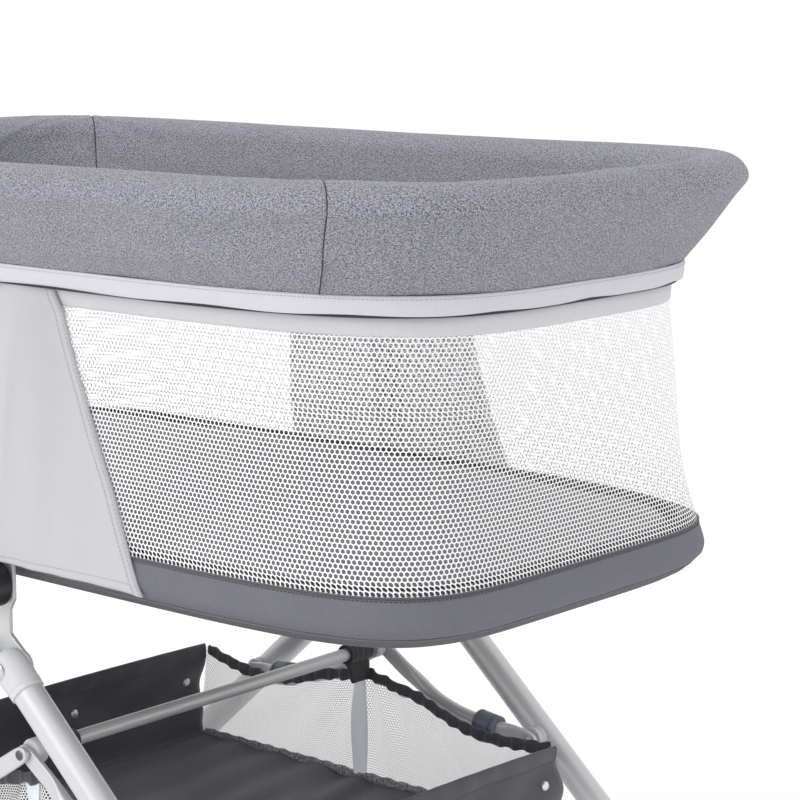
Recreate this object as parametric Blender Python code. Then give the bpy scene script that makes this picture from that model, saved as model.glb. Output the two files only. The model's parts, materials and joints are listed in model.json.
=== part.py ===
"""Bassinet on a folding stand: padded rim, mesh tub, mattress, A-frame legs, brace arms and basket.

Metres, +Z up.  The origin is on the floor under the middle of the tub.  X runs along the tub,
"right" is +X and "left" is -X; "near" is -Y and "far" is +Y.
"""
import math

import bmesh
import bpy
from mathutils import Vector

# --- driving dimensions ------------------------------------------------------------------------
HALF_LENGTH = 0.430          # tub rim, outermost, along X
HALF_WIDTH = 0.254           # tub rim, outermost, along Y
RIM_TOP = 0.780
BAND_BOTTOM = 0.697          # lower edge of the padded rim cover
ZIP_HEIGHT = 0.683           # top of the zip tape under the rim trim
MESH_TOP = 0.667
BASE_TOP = 0.4865            # mesh meets the dark base band
SEAM_HEIGHT = 0.466          # base band meets the underside cover
UNDERSIDE = 0.431
RIM_SQUARENESS = 5.0         # superellipse exponents of the plan outline
BAND_SQUARENESS = 3.8
BASE_SQUARENESS = 5.5
RING_POINTS = 40

GAP = 0.0003                 # between faces that touch
FABRIC = 0.002               # a layer of fabric

LEG_PLANE = 0.2407           # |y| of the leg tubes
PIVOT_X = 0.0175             # leg pivots on the hub plate
PIVOT_Z = 0.3843
LEG_SLOPE = 0.90             # drop over run of the deployed legs
LEG_RADIUS = 0.0125
LEG_WALL = 0.0014
SLEEVE_RADIUS = 0.0148
BAR_Z = 0.075                # axis of the floor bar
BAR_CORNER = 0.055
WHEEL_RADIUS = 0.025
WHEEL_SIDES = 20
CASTER_Y = 0.180
CASTER_TRAIL = 0.016

ARM_PLANE = 0.2167
ARM_RADIUS = 0.0065
ARM_END_X = 0.170            # arm screw on the leg
APEX_Z = 0.305               # cross rail axis
RAIL_RADIUS = 0.006

BASKET_FLOOR = 0.178
BASKET_TOP = 0.262
BASKET_HALF_LENGTH = 0.222
BASKET_HALF_WIDTH = 0.196

COLOURS = {
    "heather": (0.27, 0.27, 0.28), "light_grey": (0.60, 0.61, 0.63), "zip": (0.02, 0.02, 0.025),
    "mesh": (0.80, 0.80, 0.82), "dark_grey": (0.17, 0.17, 0.19), "underside": (0.11, 0.11, 0.12),
    "mattress": (0.15, 0.15, 0.17), "board": (0.35, 0.27, 0.18), "steel": (0.45, 0.45, 0.46),
    "silver": (0.62, 0.63, 0.64), "light_plastic": (0.50, 0.51, 0.54), "black": (0.012, 0.012, 0.014),
    "slate": (0.08, 0.10, 0.13), "charcoal": (0.05, 0.05, 0.058), "tyre": (0.03, 0.03, 0.032),
}
METAL = {"steel": 0.8, "silver": 0.3}


def clear_scene():
    for thing in list(bpy.data.objects):
        bpy.data.objects.remove(thing, do_unlink=True)


def material(finish):
    found = bpy.data.materials.get(finish)
    if found:
        return found
    made = bpy.data.materials.new(finish)
    made.use_nodes = True
    shader = made.node_tree.nodes["Principled BSDF"]
    shader.inputs["Base Color"].default_value = (*COLOURS[finish], 1.0)
    shader.inputs["Roughness"].default_value = 0.4 if finish in METAL else 0.85
    shader.inputs["Metallic"].default_value = METAL.get(finish, 0.0)
    return made


def add_object(name, vertices, faces, finish, pivot=(0, 0, 0), smooth=True):
    """One closed body, with its faces turned out and its origin at pivot."""
    mesh = bpy.data.meshes.new(name)
    shifted = [Vector(v) - Vector(pivot) for v in vertices]
    mesh.from_pydata(shifted, [], faces)
    body = bmesh.new()
    body.from_mesh(mesh)
    bmesh.ops.recalc_face_normals(body, faces=body.faces)
    body.to_mesh(mesh)
    body.free()
    if smooth:
        mesh.shade_smooth()
        mesh.set_sharp_from_angle(angle=math.radians(35))
    thing = bpy.data.objects.new(name, mesh)
    thing.location = pivot
    mesh.materials.append(material(finish))
    bpy.context.scene.collection.objects.link(thing)
    return thing


def join_rings(rings, around=True):
    """Vertices and faces of a loft through rings; around joins the last ring to the first."""
    count = len(rings[0])
    vertices = [point for ring in rings for point in ring]
    faces = []
    for a in range(len(rings) if around else len(rings) - 1):
        b = (a + 1) % len(rings)
        for i in range(count):
            j = (i + 1) % count
            faces.append((a * count + i, a * count + j, b * count + j, b * count + i))
    if not around:
        faces.append(tuple(range(count)))
        faces.append(tuple(range(len(vertices) - count, len(vertices))))
    return vertices, faces


def boolean(base, tool, operation):
    """Cut or join tool into base, and remove tool."""
    change = base.modifiers.new(operation.title(), "BOOLEAN")
    change.operation = operation
    change.solver = "EXACT"
    change.object = tool
    bpy.context.view_layer.update()
    result = bpy.data.meshes.new_from_object(base.evaluated_get(bpy.context.evaluated_depsgraph_get()))
    base.modifiers.clear()
    base.data = result
    bpy.data.objects.remove(tool, do_unlink=True)
    return base


# --- the tub -----------------------------------------------------------------------------------
def squareness(z):
    """Plan outline exponent: square at the rim and the base, rounder where the band ends."""
    if z >= BAND_BOTTOM:
        share = min(1.0, (z - BAND_BOTTOM) / (0.757 - BAND_BOTTOM))
        return BAND_SQUARENESS + share * (RIM_SQUARENESS - BAND_SQUARENESS)
    share = min(1.0, (BAND_BOTTOM - z) / (BAND_BOTTOM - BASE_TOP))
    return BAND_SQUARENESS + share * (BASE_SQUARENESS - BAND_SQUARENESS)


def outline(offset, z):
    """The tub's plan outline at height z, moved out by offset (negative is inwards)."""
    power = 2.0 / squareness(z)
    points = []
    for i in range(RING_POINTS):
        turn = 2 * math.pi * (i + 0.5) / RING_POINTS
        across, along = math.sin(turn), math.cos(turn)
        points.append(((HALF_LENGTH + offset) * math.copysign(abs(along) ** power, along),
                       (HALF_WIDTH + offset) * math.copysign(abs(across) ** power, across), z))
    return points


def tub_ring(name, profile, finish):
    """A ring round the tub with the given (offset, z) section."""
    vertices, faces = join_rings([outline(offset, z) for offset, z in profile])
    return add_object(name, vertices, faces, finish)


def tub_slab(name, profile, finish):
    """A solid or tray whose (offset, z) profile starts and ends at a flat middle."""
    vertices, faces = join_rings([outline(offset, z) for offset, z in profile], around=False)
    return add_object(name, vertices, faces, finish)


def round_section(offset, z, radius, sides, start=0.0, turn=360.0, count=None):
    count = count or sides
    return [(offset + radius * math.cos(math.radians(start + turn * i / sides)),
             z + radius * math.sin(math.radians(start + turn * i / sides))) for i in range(count)]


RIM_TUBE_OFFSET, RIM_TUBE_Z, RIM_TUBE_RADIUS = -0.022, 0.756, 0.008
# outer face of the tub wall from the base seam up: (offset, z)
WALL_LINE = ((-0.0310, SEAM_HEIGHT), (-0.0350, BASE_TOP), (-0.0440, 0.530), (-0.0505, 0.600),
             (-0.0520, MESH_TOP), (-0.0505, 0.700))


def wall_offset(z):
    """Offset of the tub wall's outer face at height z."""
    for (low_offset, low), (high_offset, high) in zip(WALL_LINE, WALL_LINE[1:]):
        if z <= high:
            share = max(0.0, (z - low) / (high - low))
            return low_offset + share * (high_offset - low_offset)
    return WALL_LINE[-1][0]


def make_rim():
    tub_ring("rim_tube", round_section(RIM_TUBE_OFFSET, RIM_TUBE_Z, RIM_TUBE_RADIUS, 10), "steel")
    over_tube = round_section(RIM_TUBE_OFFSET, RIM_TUBE_Z, RIM_TUBE_RADIUS + 4 * GAP, 5,
                              190.0, -200.0, 6)
    cover = [(-0.0330, BAND_BOTTOM), (-0.0190, 0.722), (-0.0070, 0.745), (0.0, 0.760),
             (-0.0040, 0.7715), (-0.0130, 0.7785), (-0.0240, RIM_TOP), (-0.0350, 0.7765),
             (-0.0425, 0.767), (-0.0445, 0.750), (-0.0445, 0.725), (-0.0405, 0.725),
             (-0.0400, 0.745), *over_tube, (-0.0115, 0.745), (-0.0235, 0.722),
             (-0.0375, BAND_BOTTOM)]
    tub_ring("rim_cover", cover, "heather")
    tub_ring("rim_trim", [(-0.0332, BAND_BOTTOM - GAP), (-0.0362, ZIP_HEIGHT),
                          (-0.0382, ZIP_HEIGHT), (-0.0352, BAND_BOTTOM - GAP)], "light_grey")
    tub_ring("zip_tape", [(-0.0358, ZIP_HEIGHT - GAP), (-0.0360, 0.679),
                          (-0.0378, 0.679), (-0.0376, ZIP_HEIGHT - GAP)], "zip")


def make_walls():
    tub_ring("mesh_binding", [(-0.0415, 0.725 - GAP), (-0.0505, 0.700), (-0.0520, MESH_TOP),
                              (-0.0545, MESH_TOP), (-0.0530, 0.700), (-0.0440, 0.725 - GAP)],
             "light_grey")
    heights = [MESH_TOP - GAP, 0.600, 0.530, BASE_TOP]
    outer = [(wall_offset(z), z) for z in heights]
    inner = [(offset - 0.0018, z) for offset, z in reversed(outer)]
    tub_ring("mesh_wall", outer + inner, "mesh")
    tub_ring("base_band", [(-0.0348, BASE_TOP - GAP), (-0.0310, SEAM_HEIGHT),
                           (-0.0345, SEAM_HEIGHT), (-0.0380, BASE_TOP - GAP)], "dark_grey")


def make_base():
    tub_slab("underside_cover",
             [(-0.1600, UNDERSIDE + 0.0025), (-0.1000, 0.4365), (-0.0550, 0.4480),
              (-0.0385, 0.4570), (-0.0345, SEAM_HEIGHT - GAP), (-0.0312, SEAM_HEIGHT - GAP),
              (-0.0360, 0.4550), (-0.0550, 0.4455), (-0.1000, 0.4340), (-0.1600, UNDERSIDE)],
             "underside")
    tub_ring("base_frame", round_section(-0.062, 0.4511, 0.0045, 8), "steel")
    tub_slab("base_board", [(-0.0425, 0.4560), (-0.0425, 0.4640)], "board")
    tub_slab("mattress", [(-0.0500, 0.4643), (-0.0455, 0.4680), (-0.0440, 0.4800),
                          (-0.0455, 0.4910), (-0.0520, 0.4945)], "mattress")


PANEL_TOP, PANEL_BOTTOM = 0.690, 0.4600
PANEL_TUCK = 0.678           # above this the panel is held in behind the trim
PANEL_COLUMNS = 10
PANEL_HALF = {"near": (0.040, 0.150), "far": (0.100, 0.135)}


def make_side_panel(side, y_sign):
    """Smooth panel that hides the upright: it hugs the wall at its edges and bulges between."""
    top_half, bottom_half = PANEL_HALF[side]
    heights = [PANEL_TOP, PANEL_TUCK, 0.665, 0.645, 0.62, 0.59, 0.56, 0.53, 0.50, 0.48, PANEL_BOTTOM]
    faces_in, faces_out = [], []
    for z in heights:
        share = (PANEL_TOP - z) / (PANEL_TOP - PANEL_BOTTOM)
        half = top_half + (bottom_half - top_half) * share ** 1.4
        drop = max(0.0, (PANEL_TUCK - z) / (PANEL_TUCK - PANEL_BOTTOM))
        middle = 0.2151 + 0.0279 * drop ** 0.8
        edge = HALF_WIDTH + wall_offset(z) + 0.0032
        for column in range(PANEL_COLUMNS + 1):
            place = 2 * column / PANEL_COLUMNS - 1
            y = edge + (middle - edge) * math.cos(place * math.pi / 2) ** 2
            lift = 0.009 * (1 - abs(place)) if z == PANEL_BOTTOM else 0.0
            faces_out.append((half * place, y_sign * y, z + lift))
            faces_in.append((half * place, y_sign * (y - FABRIC - 0.0002), z + lift))
    width, rows = PANEL_COLUMNS + 1, len(heights)
    back = len(faces_out)
    faces = []
    for row in range(rows - 1):
        for column in range(PANEL_COLUMNS):
            a = row * width + column
            quad = (a, a + 1, a + width + 1, a + width)
            faces.append(quad)
            faces.append(tuple(back + i for i in reversed(quad)))
    border = ([i for i in range(width)] + [row * width + width - 1 for row in range(1, rows)]
              + [(rows - 1) * width + i for i in range(width - 2, -1, -1)]
              + [row * width for row in range(rows - 2, 0, -1)])
    for a, b in zip(border, border[1:] + border[:1]):
        faces.append((b, a, back + a, back + b))
    add_object("side_panel_" + side, faces_out + faces_in, faces, "light_grey")


# --- tubes, plates and turned pieces -------------------------------------------------------------
def rounded_path(points, radius, steps=5):
    """The polyline with each inner corner rounded to about the radius."""
    path = [Vector(points[0])]
    for before, corner, after in zip(points, points[1:], points[2:]):
        corner = Vector(corner)
        back, ahead = Vector(before) - corner, Vector(after) - corner
        half_angle = back.angle(ahead) / 2
        reach = min(radius / math.tan(half_angle), back.length * 0.45, ahead.length * 0.45)
        start, end = corner + back.normalized() * reach, corner + ahead.normalized() * reach
        for i in range(steps + 1):
            t = i / steps
            path.append(start * (1 - t) ** 2 + corner * 2 * t * (1 - t) + end * t * t)
    path.append(Vector(points[-1]))
    return path


def tube_rings(path, radius, sides, across):
    """Rings square to the path, the first corner lying half a step from the across direction."""
    path = [Vector(p) for p in path]
    side = Vector(across)
    rings = []
    for i, point in enumerate(path):
        ahead = (path[min(i + 1, len(path) - 1)] - point)
        behind = (point - path[max(i - 1, 0)])
        heading = (ahead.normalized() + behind.normalized()).normalized()
        side = (side - heading * side.dot(heading)).normalized()
        up = heading.cross(side)
        rings.append([point + radius * (math.cos(a) * side + math.sin(a) * up)
                      for a in (2 * math.pi * (k + 0.5) / sides for k in range(sides))])
    return rings


def solid_tube(name, path, radius, sides, finish, pivot=(0, 0, 0), across=(0, 1, 0)):
    vertices, faces = join_rings(tube_rings(path, radius, sides, across), around=False)
    return add_object(name, vertices, faces, finish, pivot)


def hollow_tube(name, path, radius, wall, sides, finish, pivot=(0, 0, 0), across=(0, 1, 0)):
    """An open-ended tube: outer skin, then the inner skin back to the start."""
    outer = tube_rings(path, radius, sides, across)
    inner = tube_rings(path, radius - wall, sides, across)
    vertices, faces = join_rings(outer + inner[::-1])
    return add_object(name, vertices, faces, finish, pivot)


def plate(name, outline_xz, y_from, y_to, finish, pivot=(0, 0, 0)):
    """A flat outline in X and Z, thick from y_from to y_to."""
    rings = [[(x, y, z) for x, z in outline_xz] for y in (y_from, y_to)]
    vertices, faces = join_rings(rings, around=False)
    return add_object(name, vertices, faces, finish, pivot)


def disc(x, z, radius, y_from, y_to, finish, name="tool", sides=16, pivot=(0, 0, 0)):
    ring = [(x + radius * math.cos(2 * math.pi * (i + 0.5) / sides),
             z + radius * math.sin(2 * math.pi * (i + 0.5) / sides)) for i in range(sides)]
    return plate(name, ring, y_from, y_to, finish, pivot)


def tongue(start, end, half_width, y_from, y_to, finish):
    """A flat bar with round ends between two (x, z) points."""
    (x0, z0), (x1, z1) = start, end
    heading = math.atan2(z1 - z0, x1 - x0)
    ring = []
    for x, z, first in ((x1, z1, heading - math.pi / 2), (x0, z0, heading + math.pi / 2)):
        for i in range(7):
            a = first + math.pi * i / 6
            ring.append((x + half_width * math.cos(a), z + half_width * math.sin(a)))
    return plate("tool", ring, y_from, y_to, finish)


def collar(name, start, end, inner, outer, finish, across=(0, 1, 0)):
    """A short sleeve between two points."""
    return hollow_tube(name, [start, end], outer, outer - inner, 14, finish, across=across)


def make_upright(side, y_sign):
    line = [(0.2288, 0.4820), (0.2075, 0.6850), (0.2095, 0.7000), (0.2290, 0.7420), (0.2305, 0.7475)]
    path = [(0, y_sign * y, z) for y, z in line]
    solid_tube("upright_" + side, path, 0.0045, 10, "steel")


HUB_IN, HUB_OUT = 0.2240, 0.2330          # |y| of the hub plate's faces
KNOB_Z, KNOB_RADIUS, KNOB_TRAVEL = 0.449, 0.018, 0.003
STUB_RADIUS = 0.0060


def make_hub(side, y_sign):
    """Plate that hangs the tub on the legs, with a stub axle for each leg."""
    lobe = 0.0155
    right = [(PIVOT_X + lobe * math.cos(math.radians(a)), PIVOT_Z + lobe * math.sin(math.radians(a)))
             for a in (70, 35, 0, -35, -70, -95)]
    half = [(0.014, 0.4815), (0.014, 0.436), (0.0095, 0.424), (0.0095, 0.407), *right,
            (0.0, PIVOT_Z - 0.012)]
    ring = half + [(-x, z) for x, z in reversed(half[:-1])]
    y_in, y_out = y_sign * HUB_IN, y_sign * HUB_OUT
    hub = plate("hub_plate_" + side, ring, y_in, y_out, "silver")
    for x in (PIVOT_X, -PIVOT_X):
        boolean(hub, disc(x, PIVOT_Z, STUB_RADIUS, y_out - y_sign * 0.002, y_sign * 0.2565, "silver"),
                "UNION")
    bore = disc(0, KNOB_Z, 0.0063, y_in - y_sign * 0.002, y_out + y_sign * 0.002, "silver")
    boolean(hub, bore, "DIFFERENCE")


def make_knob(side, y_sign):
    """Round release button: a domed cap on a stem that runs in the hub plate."""
    front = HUB_OUT + KNOB_TRAVEL + 0.0015
    profile = [(HUB_IN + 0.001, 0.0060), (front, 0.0060), (front, KNOB_RADIUS),
               (0.256, KNOB_RADIUS), (0.2605, 0.0155), (0.262, 0.0105)]
    rings = [[(radius * math.cos(2 * math.pi * i / 20), y_sign * y,
               KNOB_Z + radius * math.sin(2 * math.pi * i / 20)) for i in range(20)]
             for y, radius in profile]
    vertices, faces = join_rings(rings, around=False)
    add_object("release_knob_" + side, vertices, faces, "black", (0, y_sign * HUB_OUT, KNOB_Z))


# --- legs --------------------------------------------------------------------------------------
LEG_UNIT = Vector((1.0, 0.0, -LEG_SLOPE)).normalized()
BAR_X = PIVOT_X + (PIVOT_Z - BAR_Z) / LEG_SLOPE
SOCKET_FROM, SLEEVE_END = 0.0168, 0.0340     # distances from the pivot along the leg


def on_leg(distance, x_sign, y):
    point = Vector((PIVOT_X, 0, PIVOT_Z)) + LEG_UNIT * distance
    return Vector((x_sign * point.x, y, point.z))


def make_sleeve(side, y_sign, end, x_sign):
    y = y_sign * LEG_PLANE
    name = "leg_sleeve_%s_%s" % (end, side)
    pivot = (x_sign * PIVOT_X, y, PIVOT_Z)
    path = [on_leg(s, x_sign, y) for s in (-0.0148, -0.0125, -0.0080, 0.0, SLEEVE_END)]
    rings = tube_rings(path, SLEEVE_RADIUS, 16, (0, 1, 0))
    for ring, point, share in zip(rings, path, (0.35, 0.62, 0.88)):
        ring[:] = [point + (corner - point) * share for corner in ring]
    vertices, faces = join_rings(rings, around=False)
    sleeve = add_object(name, vertices, faces, "silver", pivot)
    relief = disc(x_sign * PIVOT_X, PIVOT_Z, 0.0165, y_sign * 0.2200, y_sign * (HUB_OUT + GAP),
                  "silver", sides=20)
    boolean(sleeve, relief, "DIFFERENCE")
    socket = solid_tube("tool", [on_leg(SOCKET_FROM - GAP, x_sign, y), on_leg(0.05, x_sign, y)],
                        LEG_RADIUS + GAP, 16, "silver")
    boolean(sleeve, socket, "DIFFERENCE")
    bore = disc(x_sign * PIVOT_X, PIVOT_Z, STUB_RADIUS + GAP, y_sign * 0.22, y_sign * 0.265, "silver")
    boolean(sleeve, bore, "DIFFERENCE")


def make_leg_frame(end, x_sign):
    """One bent tube: down one leg, across the floor bar, and up the other leg."""
    corner_x = x_sign * BAR_X
    path = rounded_path([on_leg(SOCKET_FROM, x_sign, -LEG_PLANE), (corner_x, -LEG_PLANE, BAR_Z),
                         (corner_x, LEG_PLANE, BAR_Z), on_leg(SOCKET_FROM, x_sign, LEG_PLANE)],
                        BAR_CORNER)
    hollow_tube("leg_frame_" + end, path, LEG_RADIUS, LEG_WALL, 14, "silver",
                (x_sign * PIVOT_X, 0, PIVOT_Z))


def box(x_range, y_range, z_range, finish, name="tool"):
    (x0, x1), (y0, y1), (z0, z1) = x_range, y_range, z_range
    return plate(name, [(x0, z0), (x1, z0), (x1, z1), (x0, z1)], y0, y1, finish)


def make_caster(side, y_sign, end, x_sign):
    """Fork with its stem and axle in one piece, and the wheel on the axle."""
    stem_x, y = x_sign * BAR_X, y_sign * CASTER_Y
    axle_x = stem_x + x_sign * CASTER_TRAIL
    place = "%s_%s" % (end, side)
    cheek = [(stem_x - x_sign * 0.010, 0.058), (stem_x + x_sign * 0.030, 0.058),
             (stem_x + x_sign * 0.031, 0.052), (axle_x + x_sign * 0.008, 0.022),
             (axle_x, 0.017), (axle_x - x_sign * 0.008, 0.022), (stem_x - x_sign * 0.010, 0.050)]
    fork = plate("caster_fork_" + place, cheek, y + 0.0095, y + 0.0125, "black",
                 (stem_x, y, BAR_Z))
    boolean(fork, plate("tool", cheek, y - 0.0125, y - 0.0095, "black"), "UNION")
    x_edges = sorted((stem_x - x_sign * 0.0095, stem_x + x_sign * 0.0295))
    boolean(fork, box(x_edges, (y - 0.011, y + 0.011), (0.0525, 0.0575), "black"), "UNION")
    boolean(fork, disc(axle_x, WHEEL_RADIUS, 0.003, y - 0.0115, y + 0.0115, "black", sides=12), "UNION")
    stem = [[(stem_x + 0.008 * math.cos(2 * math.pi * i / 16), y + 0.008 * math.sin(2 * math.pi * i / 16), z)
             for i in range(16)] for z in (0.055, BAR_Z - LEG_RADIUS - GAP)]
    vertices, faces = join_rings(stem, around=False)
    boolean(fork, add_object("tool", vertices, faces, "black"), "UNION")
    tread = WHEEL_RADIUS / math.cos(math.pi / WHEEL_SIDES)       # so that a flat meets the floor
    profile = [(-0.009, 0.0034), (-0.009, 0.021), (-0.006, tread), (0.006, tread),
               (0.009, 0.021), (0.009, 0.0034)]
    turns = [2 * math.pi * (i + 0.5) / WHEEL_SIDES for i in range(WHEEL_SIDES)]
    rings = [[(axle_x + radius * math.cos(a), y + dy, WHEEL_RADIUS + radius * math.sin(a))
              for a in turns] for dy, radius in profile]
    vertices, faces = join_rings(rings)
    add_object("caster_wheel_" + place, vertices, faces, "tyre", (axle_x, y, WHEEL_RADIUS))


def make_brake(side, y_sign):
    """Foot lever at the back of a right-hand caster."""
    pivot_x, y = BAR_X + 0.034, y_sign * CASTER_Y
    lever = [(pivot_x - 0.002, 0.0580), (pivot_x - 0.002, 0.0520), (pivot_x + 0.006, 0.0500),
             (pivot_x + 0.020, 0.0485), (pivot_x + 0.022, 0.0520), (pivot_x + 0.006, 0.0560)]
    plate("brake_lever_" + side, lever, y - 0.008, y + 0.008, "slate", (pivot_x, y, 0.055))


# --- brace arms and cross rail -------------------------------------------------------------------
ARM_END_Z = PIVOT_Z - LEG_SLOPE * (ARM_END_X - PIVOT_X)
TONGUE_HALF = 0.0070
ARM_ROUTE = ((0.0350, 0.2827), (0.0620, 0.2650), (0.0950, 0.2555), (0.1480, 0.2495))


def make_arm(side, y_sign, end, x_sign):
    """Bent tube with a flattened tongue at the cross rail and another at the leg."""
    y = y_sign * ARM_PLANE
    route = rounded_path([(x_sign * x, y, z) for x, z in ARM_ROUTE], 0.03, steps=3)
    arm = solid_tube("brace_arm_%s_%s" % (end, side), route, ARM_RADIUS, 12, "silver",
                     (x_sign * ARM_END_X, y, ARM_END_Z))
    inner_face = (0.2115, 0.2163) if end == "right" else (0.2167, 0.2215)
    inner = tongue((x_sign * 0.044, 0.2768), (0, APEX_Z), TONGUE_HALF,
                   *(y_sign * v for v in inner_face), "silver")
    boolean(arm, inner, "UNION")
    outer = tongue((x_sign * 0.138, 0.2506), (x_sign * ARM_END_X, ARM_END_Z), TONGUE_HALF + 0.001,
                   y_sign * 0.2150, y_sign * 0.2200, "silver")
    boolean(arm, outer, "UNION")


def make_arm_bracket(side, y_sign, end, x_sign):
    disc(x_sign * ARM_END_X, ARM_END_Z, 0.0105, y_sign * (0.2200 + GAP),
         y_sign * (LEG_PLANE - LEG_RADIUS - 2 * GAP), "light_plastic", "arm_bracket_%s_%s" % (end, side))


def make_arm_clip(side, y_sign, end, x_sign):
    """Slate clip round the straight outer stretch of a brace arm."""
    (x0, z0), (x1, z1) = ARM_ROUTE[2], ARM_ROUTE[3]
    y = y_sign * ARM_PLANE
    along = Vector((x1 - x0, 0, z1 - z0))
    start, finish_at = (Vector((x0, 0, z0)) + along * share for share in (0.18, 0.58))
    ends = [Vector((x_sign * p.x, y, p.z)) for p in (start, finish_at)]
    collar("arm_clip_%s_%s" % (end, side), *ends, ARM_RADIUS + GAP, 0.0092, "slate")


def make_rail():
    reach = 0.2115 - GAP
    solid_tube("cross_rail", [(0, -reach, APEX_Z), (0, reach, APEX_Z)], RAIL_RADIUS, 14, "silver",
               across=(0, 0, 1))
    for side, y_sign in SIDES:
        collar("rail_collar_" + side, (0, y_sign * 0.1985, APEX_Z), (0, y_sign * 0.2105, APEX_Z),
               RAIL_RADIUS + GAP, 0.0105, "silver", across=(0, 0, 1))
        collar("rail_saddle_" + side, (0, y_sign * 0.1640, APEX_Z), (0, y_sign * 0.1940, APEX_Z),
               RAIL_RADIUS + GAP, 0.0090, "charcoal", across=(0, 0, 1))


# --- basket ------------------------------------------------------------------------------------
def make_basket():
    """Floor and end walls in one piece of fabric, and a mesh wall along each side."""
    end_in, low = 0.007, BASKET_FLOOR
    outer = [(-BASKET_HALF_LENGTH + end_in, BASKET_TOP), (-BASKET_HALF_LENGTH, low),
             (BASKET_HALF_LENGTH, low), (BASKET_HALF_LENGTH - end_in, BASKET_TOP)]
    inner = [(BASKET_HALF_LENGTH - end_in - FABRIC, BASKET_TOP),
             (BASKET_HALF_LENGTH - FABRIC, low + FABRIC), (-BASKET_HALF_LENGTH + FABRIC, low + FABRIC),
             (-BASKET_HALF_LENGTH + end_in + FABRIC, BASKET_TOP)]
    plate("basket_floor_and_ends", outer + inner, -BASKET_HALF_WIDTH, BASKET_HALF_WIDTH, "charcoal")
    steps = 12
    for side, y_sign in SIDES:
        top, bottom = [], []
        for i in range(steps + 1):
            place = 2 * i / steps - 1
            peak = 0.021 * max(0.0, 1 - abs(place) / 0.6) ** 1.3
            top.append(((BASKET_HALF_LENGTH - end_in) * place, BASKET_TOP + peak))
            bottom.append((BASKET_HALF_LENGTH * place, low))
        y = BASKET_HALF_WIDTH + GAP
        plate("basket_mesh_" + side, bottom + top[::-1], y_sign * y, y_sign * (y + 0.0018), "mesh")


SIDES = (("near", -1), ("far", 1))
ENDS = (("left", -1), ("right", 1))

clear_scene()
make_rim()
make_walls()
make_base()
make_rail()
make_basket()
for end_name, end_sign in ENDS:
    make_leg_frame(end_name, end_sign)
for side_name, side_sign in SIDES:
    make_side_panel(side_name, side_sign)
    make_upright(side_name, side_sign)
    make_hub(side_name, side_sign)
    make_knob(side_name, side_sign)
    make_brake(side_name, side_sign)
    for end_name, end_sign in ENDS:
        make_sleeve(side_name, side_sign, end_name, end_sign)
        make_caster(side_name, side_sign, end_name, end_sign)
        make_arm(side_name, side_sign, end_name, end_sign)
        make_arm_bracket(side_name, side_sign, end_name, end_sign)
        make_arm_clip(side_name, side_sign, end_name, end_sign)
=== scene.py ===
import json
import math

import bmesh
import bpy
import numpy as np
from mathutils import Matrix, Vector


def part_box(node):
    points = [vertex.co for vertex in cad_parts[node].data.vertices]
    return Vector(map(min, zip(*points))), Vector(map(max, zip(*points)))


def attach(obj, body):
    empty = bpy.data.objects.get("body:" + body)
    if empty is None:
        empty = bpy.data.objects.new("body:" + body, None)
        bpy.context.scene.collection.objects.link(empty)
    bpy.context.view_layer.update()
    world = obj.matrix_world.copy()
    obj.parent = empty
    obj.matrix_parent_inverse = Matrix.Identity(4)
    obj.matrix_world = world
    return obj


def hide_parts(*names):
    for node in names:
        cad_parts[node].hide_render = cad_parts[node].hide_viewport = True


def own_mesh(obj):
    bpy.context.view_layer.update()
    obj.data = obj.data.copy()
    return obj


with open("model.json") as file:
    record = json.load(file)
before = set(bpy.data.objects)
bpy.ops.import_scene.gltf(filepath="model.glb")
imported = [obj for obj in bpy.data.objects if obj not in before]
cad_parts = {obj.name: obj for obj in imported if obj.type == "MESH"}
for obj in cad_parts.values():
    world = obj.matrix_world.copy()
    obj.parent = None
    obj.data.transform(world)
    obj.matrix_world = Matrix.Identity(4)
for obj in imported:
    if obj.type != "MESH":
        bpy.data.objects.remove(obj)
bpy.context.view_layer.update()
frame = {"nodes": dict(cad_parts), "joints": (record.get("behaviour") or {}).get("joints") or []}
joints = {joint["name"]: joint for joint in frame["joints"]}

# Camera, light and floor.
# A long lens looks along and a little down on one corner of the tub, in a pale room with a large
# soft light at the front, a weaker one at the end, and a matt white floor.
CAMERA_PLACE = (1.4538, -1.4446, 0.9173)
CAMERA_TURN = (80.13, 0.0, 40.79)       # degrees
CAMERA_LENS = 110.94                    # mm, on a 36 mm frame
ROOM_LIGHT = 1.06
FLOOR_HALF = 60.0


def put(tree, kind, inputs=(), **settings):
    """Add a node, change its settings, and feed its inputs with plain values or other sockets."""
    node = tree.nodes.new(kind)
    for setting, value in settings.items():
        setattr(node, setting, value)
    for socket, value in dict(inputs).items():
        if isinstance(value, bpy.types.NodeSocket):
            tree.links.new(value, node.inputs[socket])
        else:
            node.inputs[socket].default_value = value
    return node


def start_finish(name, colour, roughness, **uniform):
    """A material with its shader; uniform holds shader values by name, spaces written as _."""
    finish = bpy.data.materials.new(name)
    finish.use_nodes = True
    finish.diffuse_color = (*colour, 1.0)
    shader = finish.node_tree.nodes["Principled BSDF"]
    shader.inputs["Base Color"].default_value = (*colour, 1.0)
    shader.inputs["Roughness"].default_value = roughness
    for socket, value in uniform.items():
        shader.inputs[socket.replace("_", " ")].default_value = value
    return finish, finish.node_tree, shader


def mix_colours(tree, mask, first, second):
    """Colour socket that goes from first to second with the mask."""
    mixed = put(tree, "ShaderNodeMix", {0: mask, 6: first, 7: second}, data_type="RGBA")
    return mixed.outputs[2]


def calculate(tree, operation, *values):
    """Number socket of one sum."""
    return put(tree, "ShaderNodeMath", dict(enumerate(values)), operation=operation).outputs[0]


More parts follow.
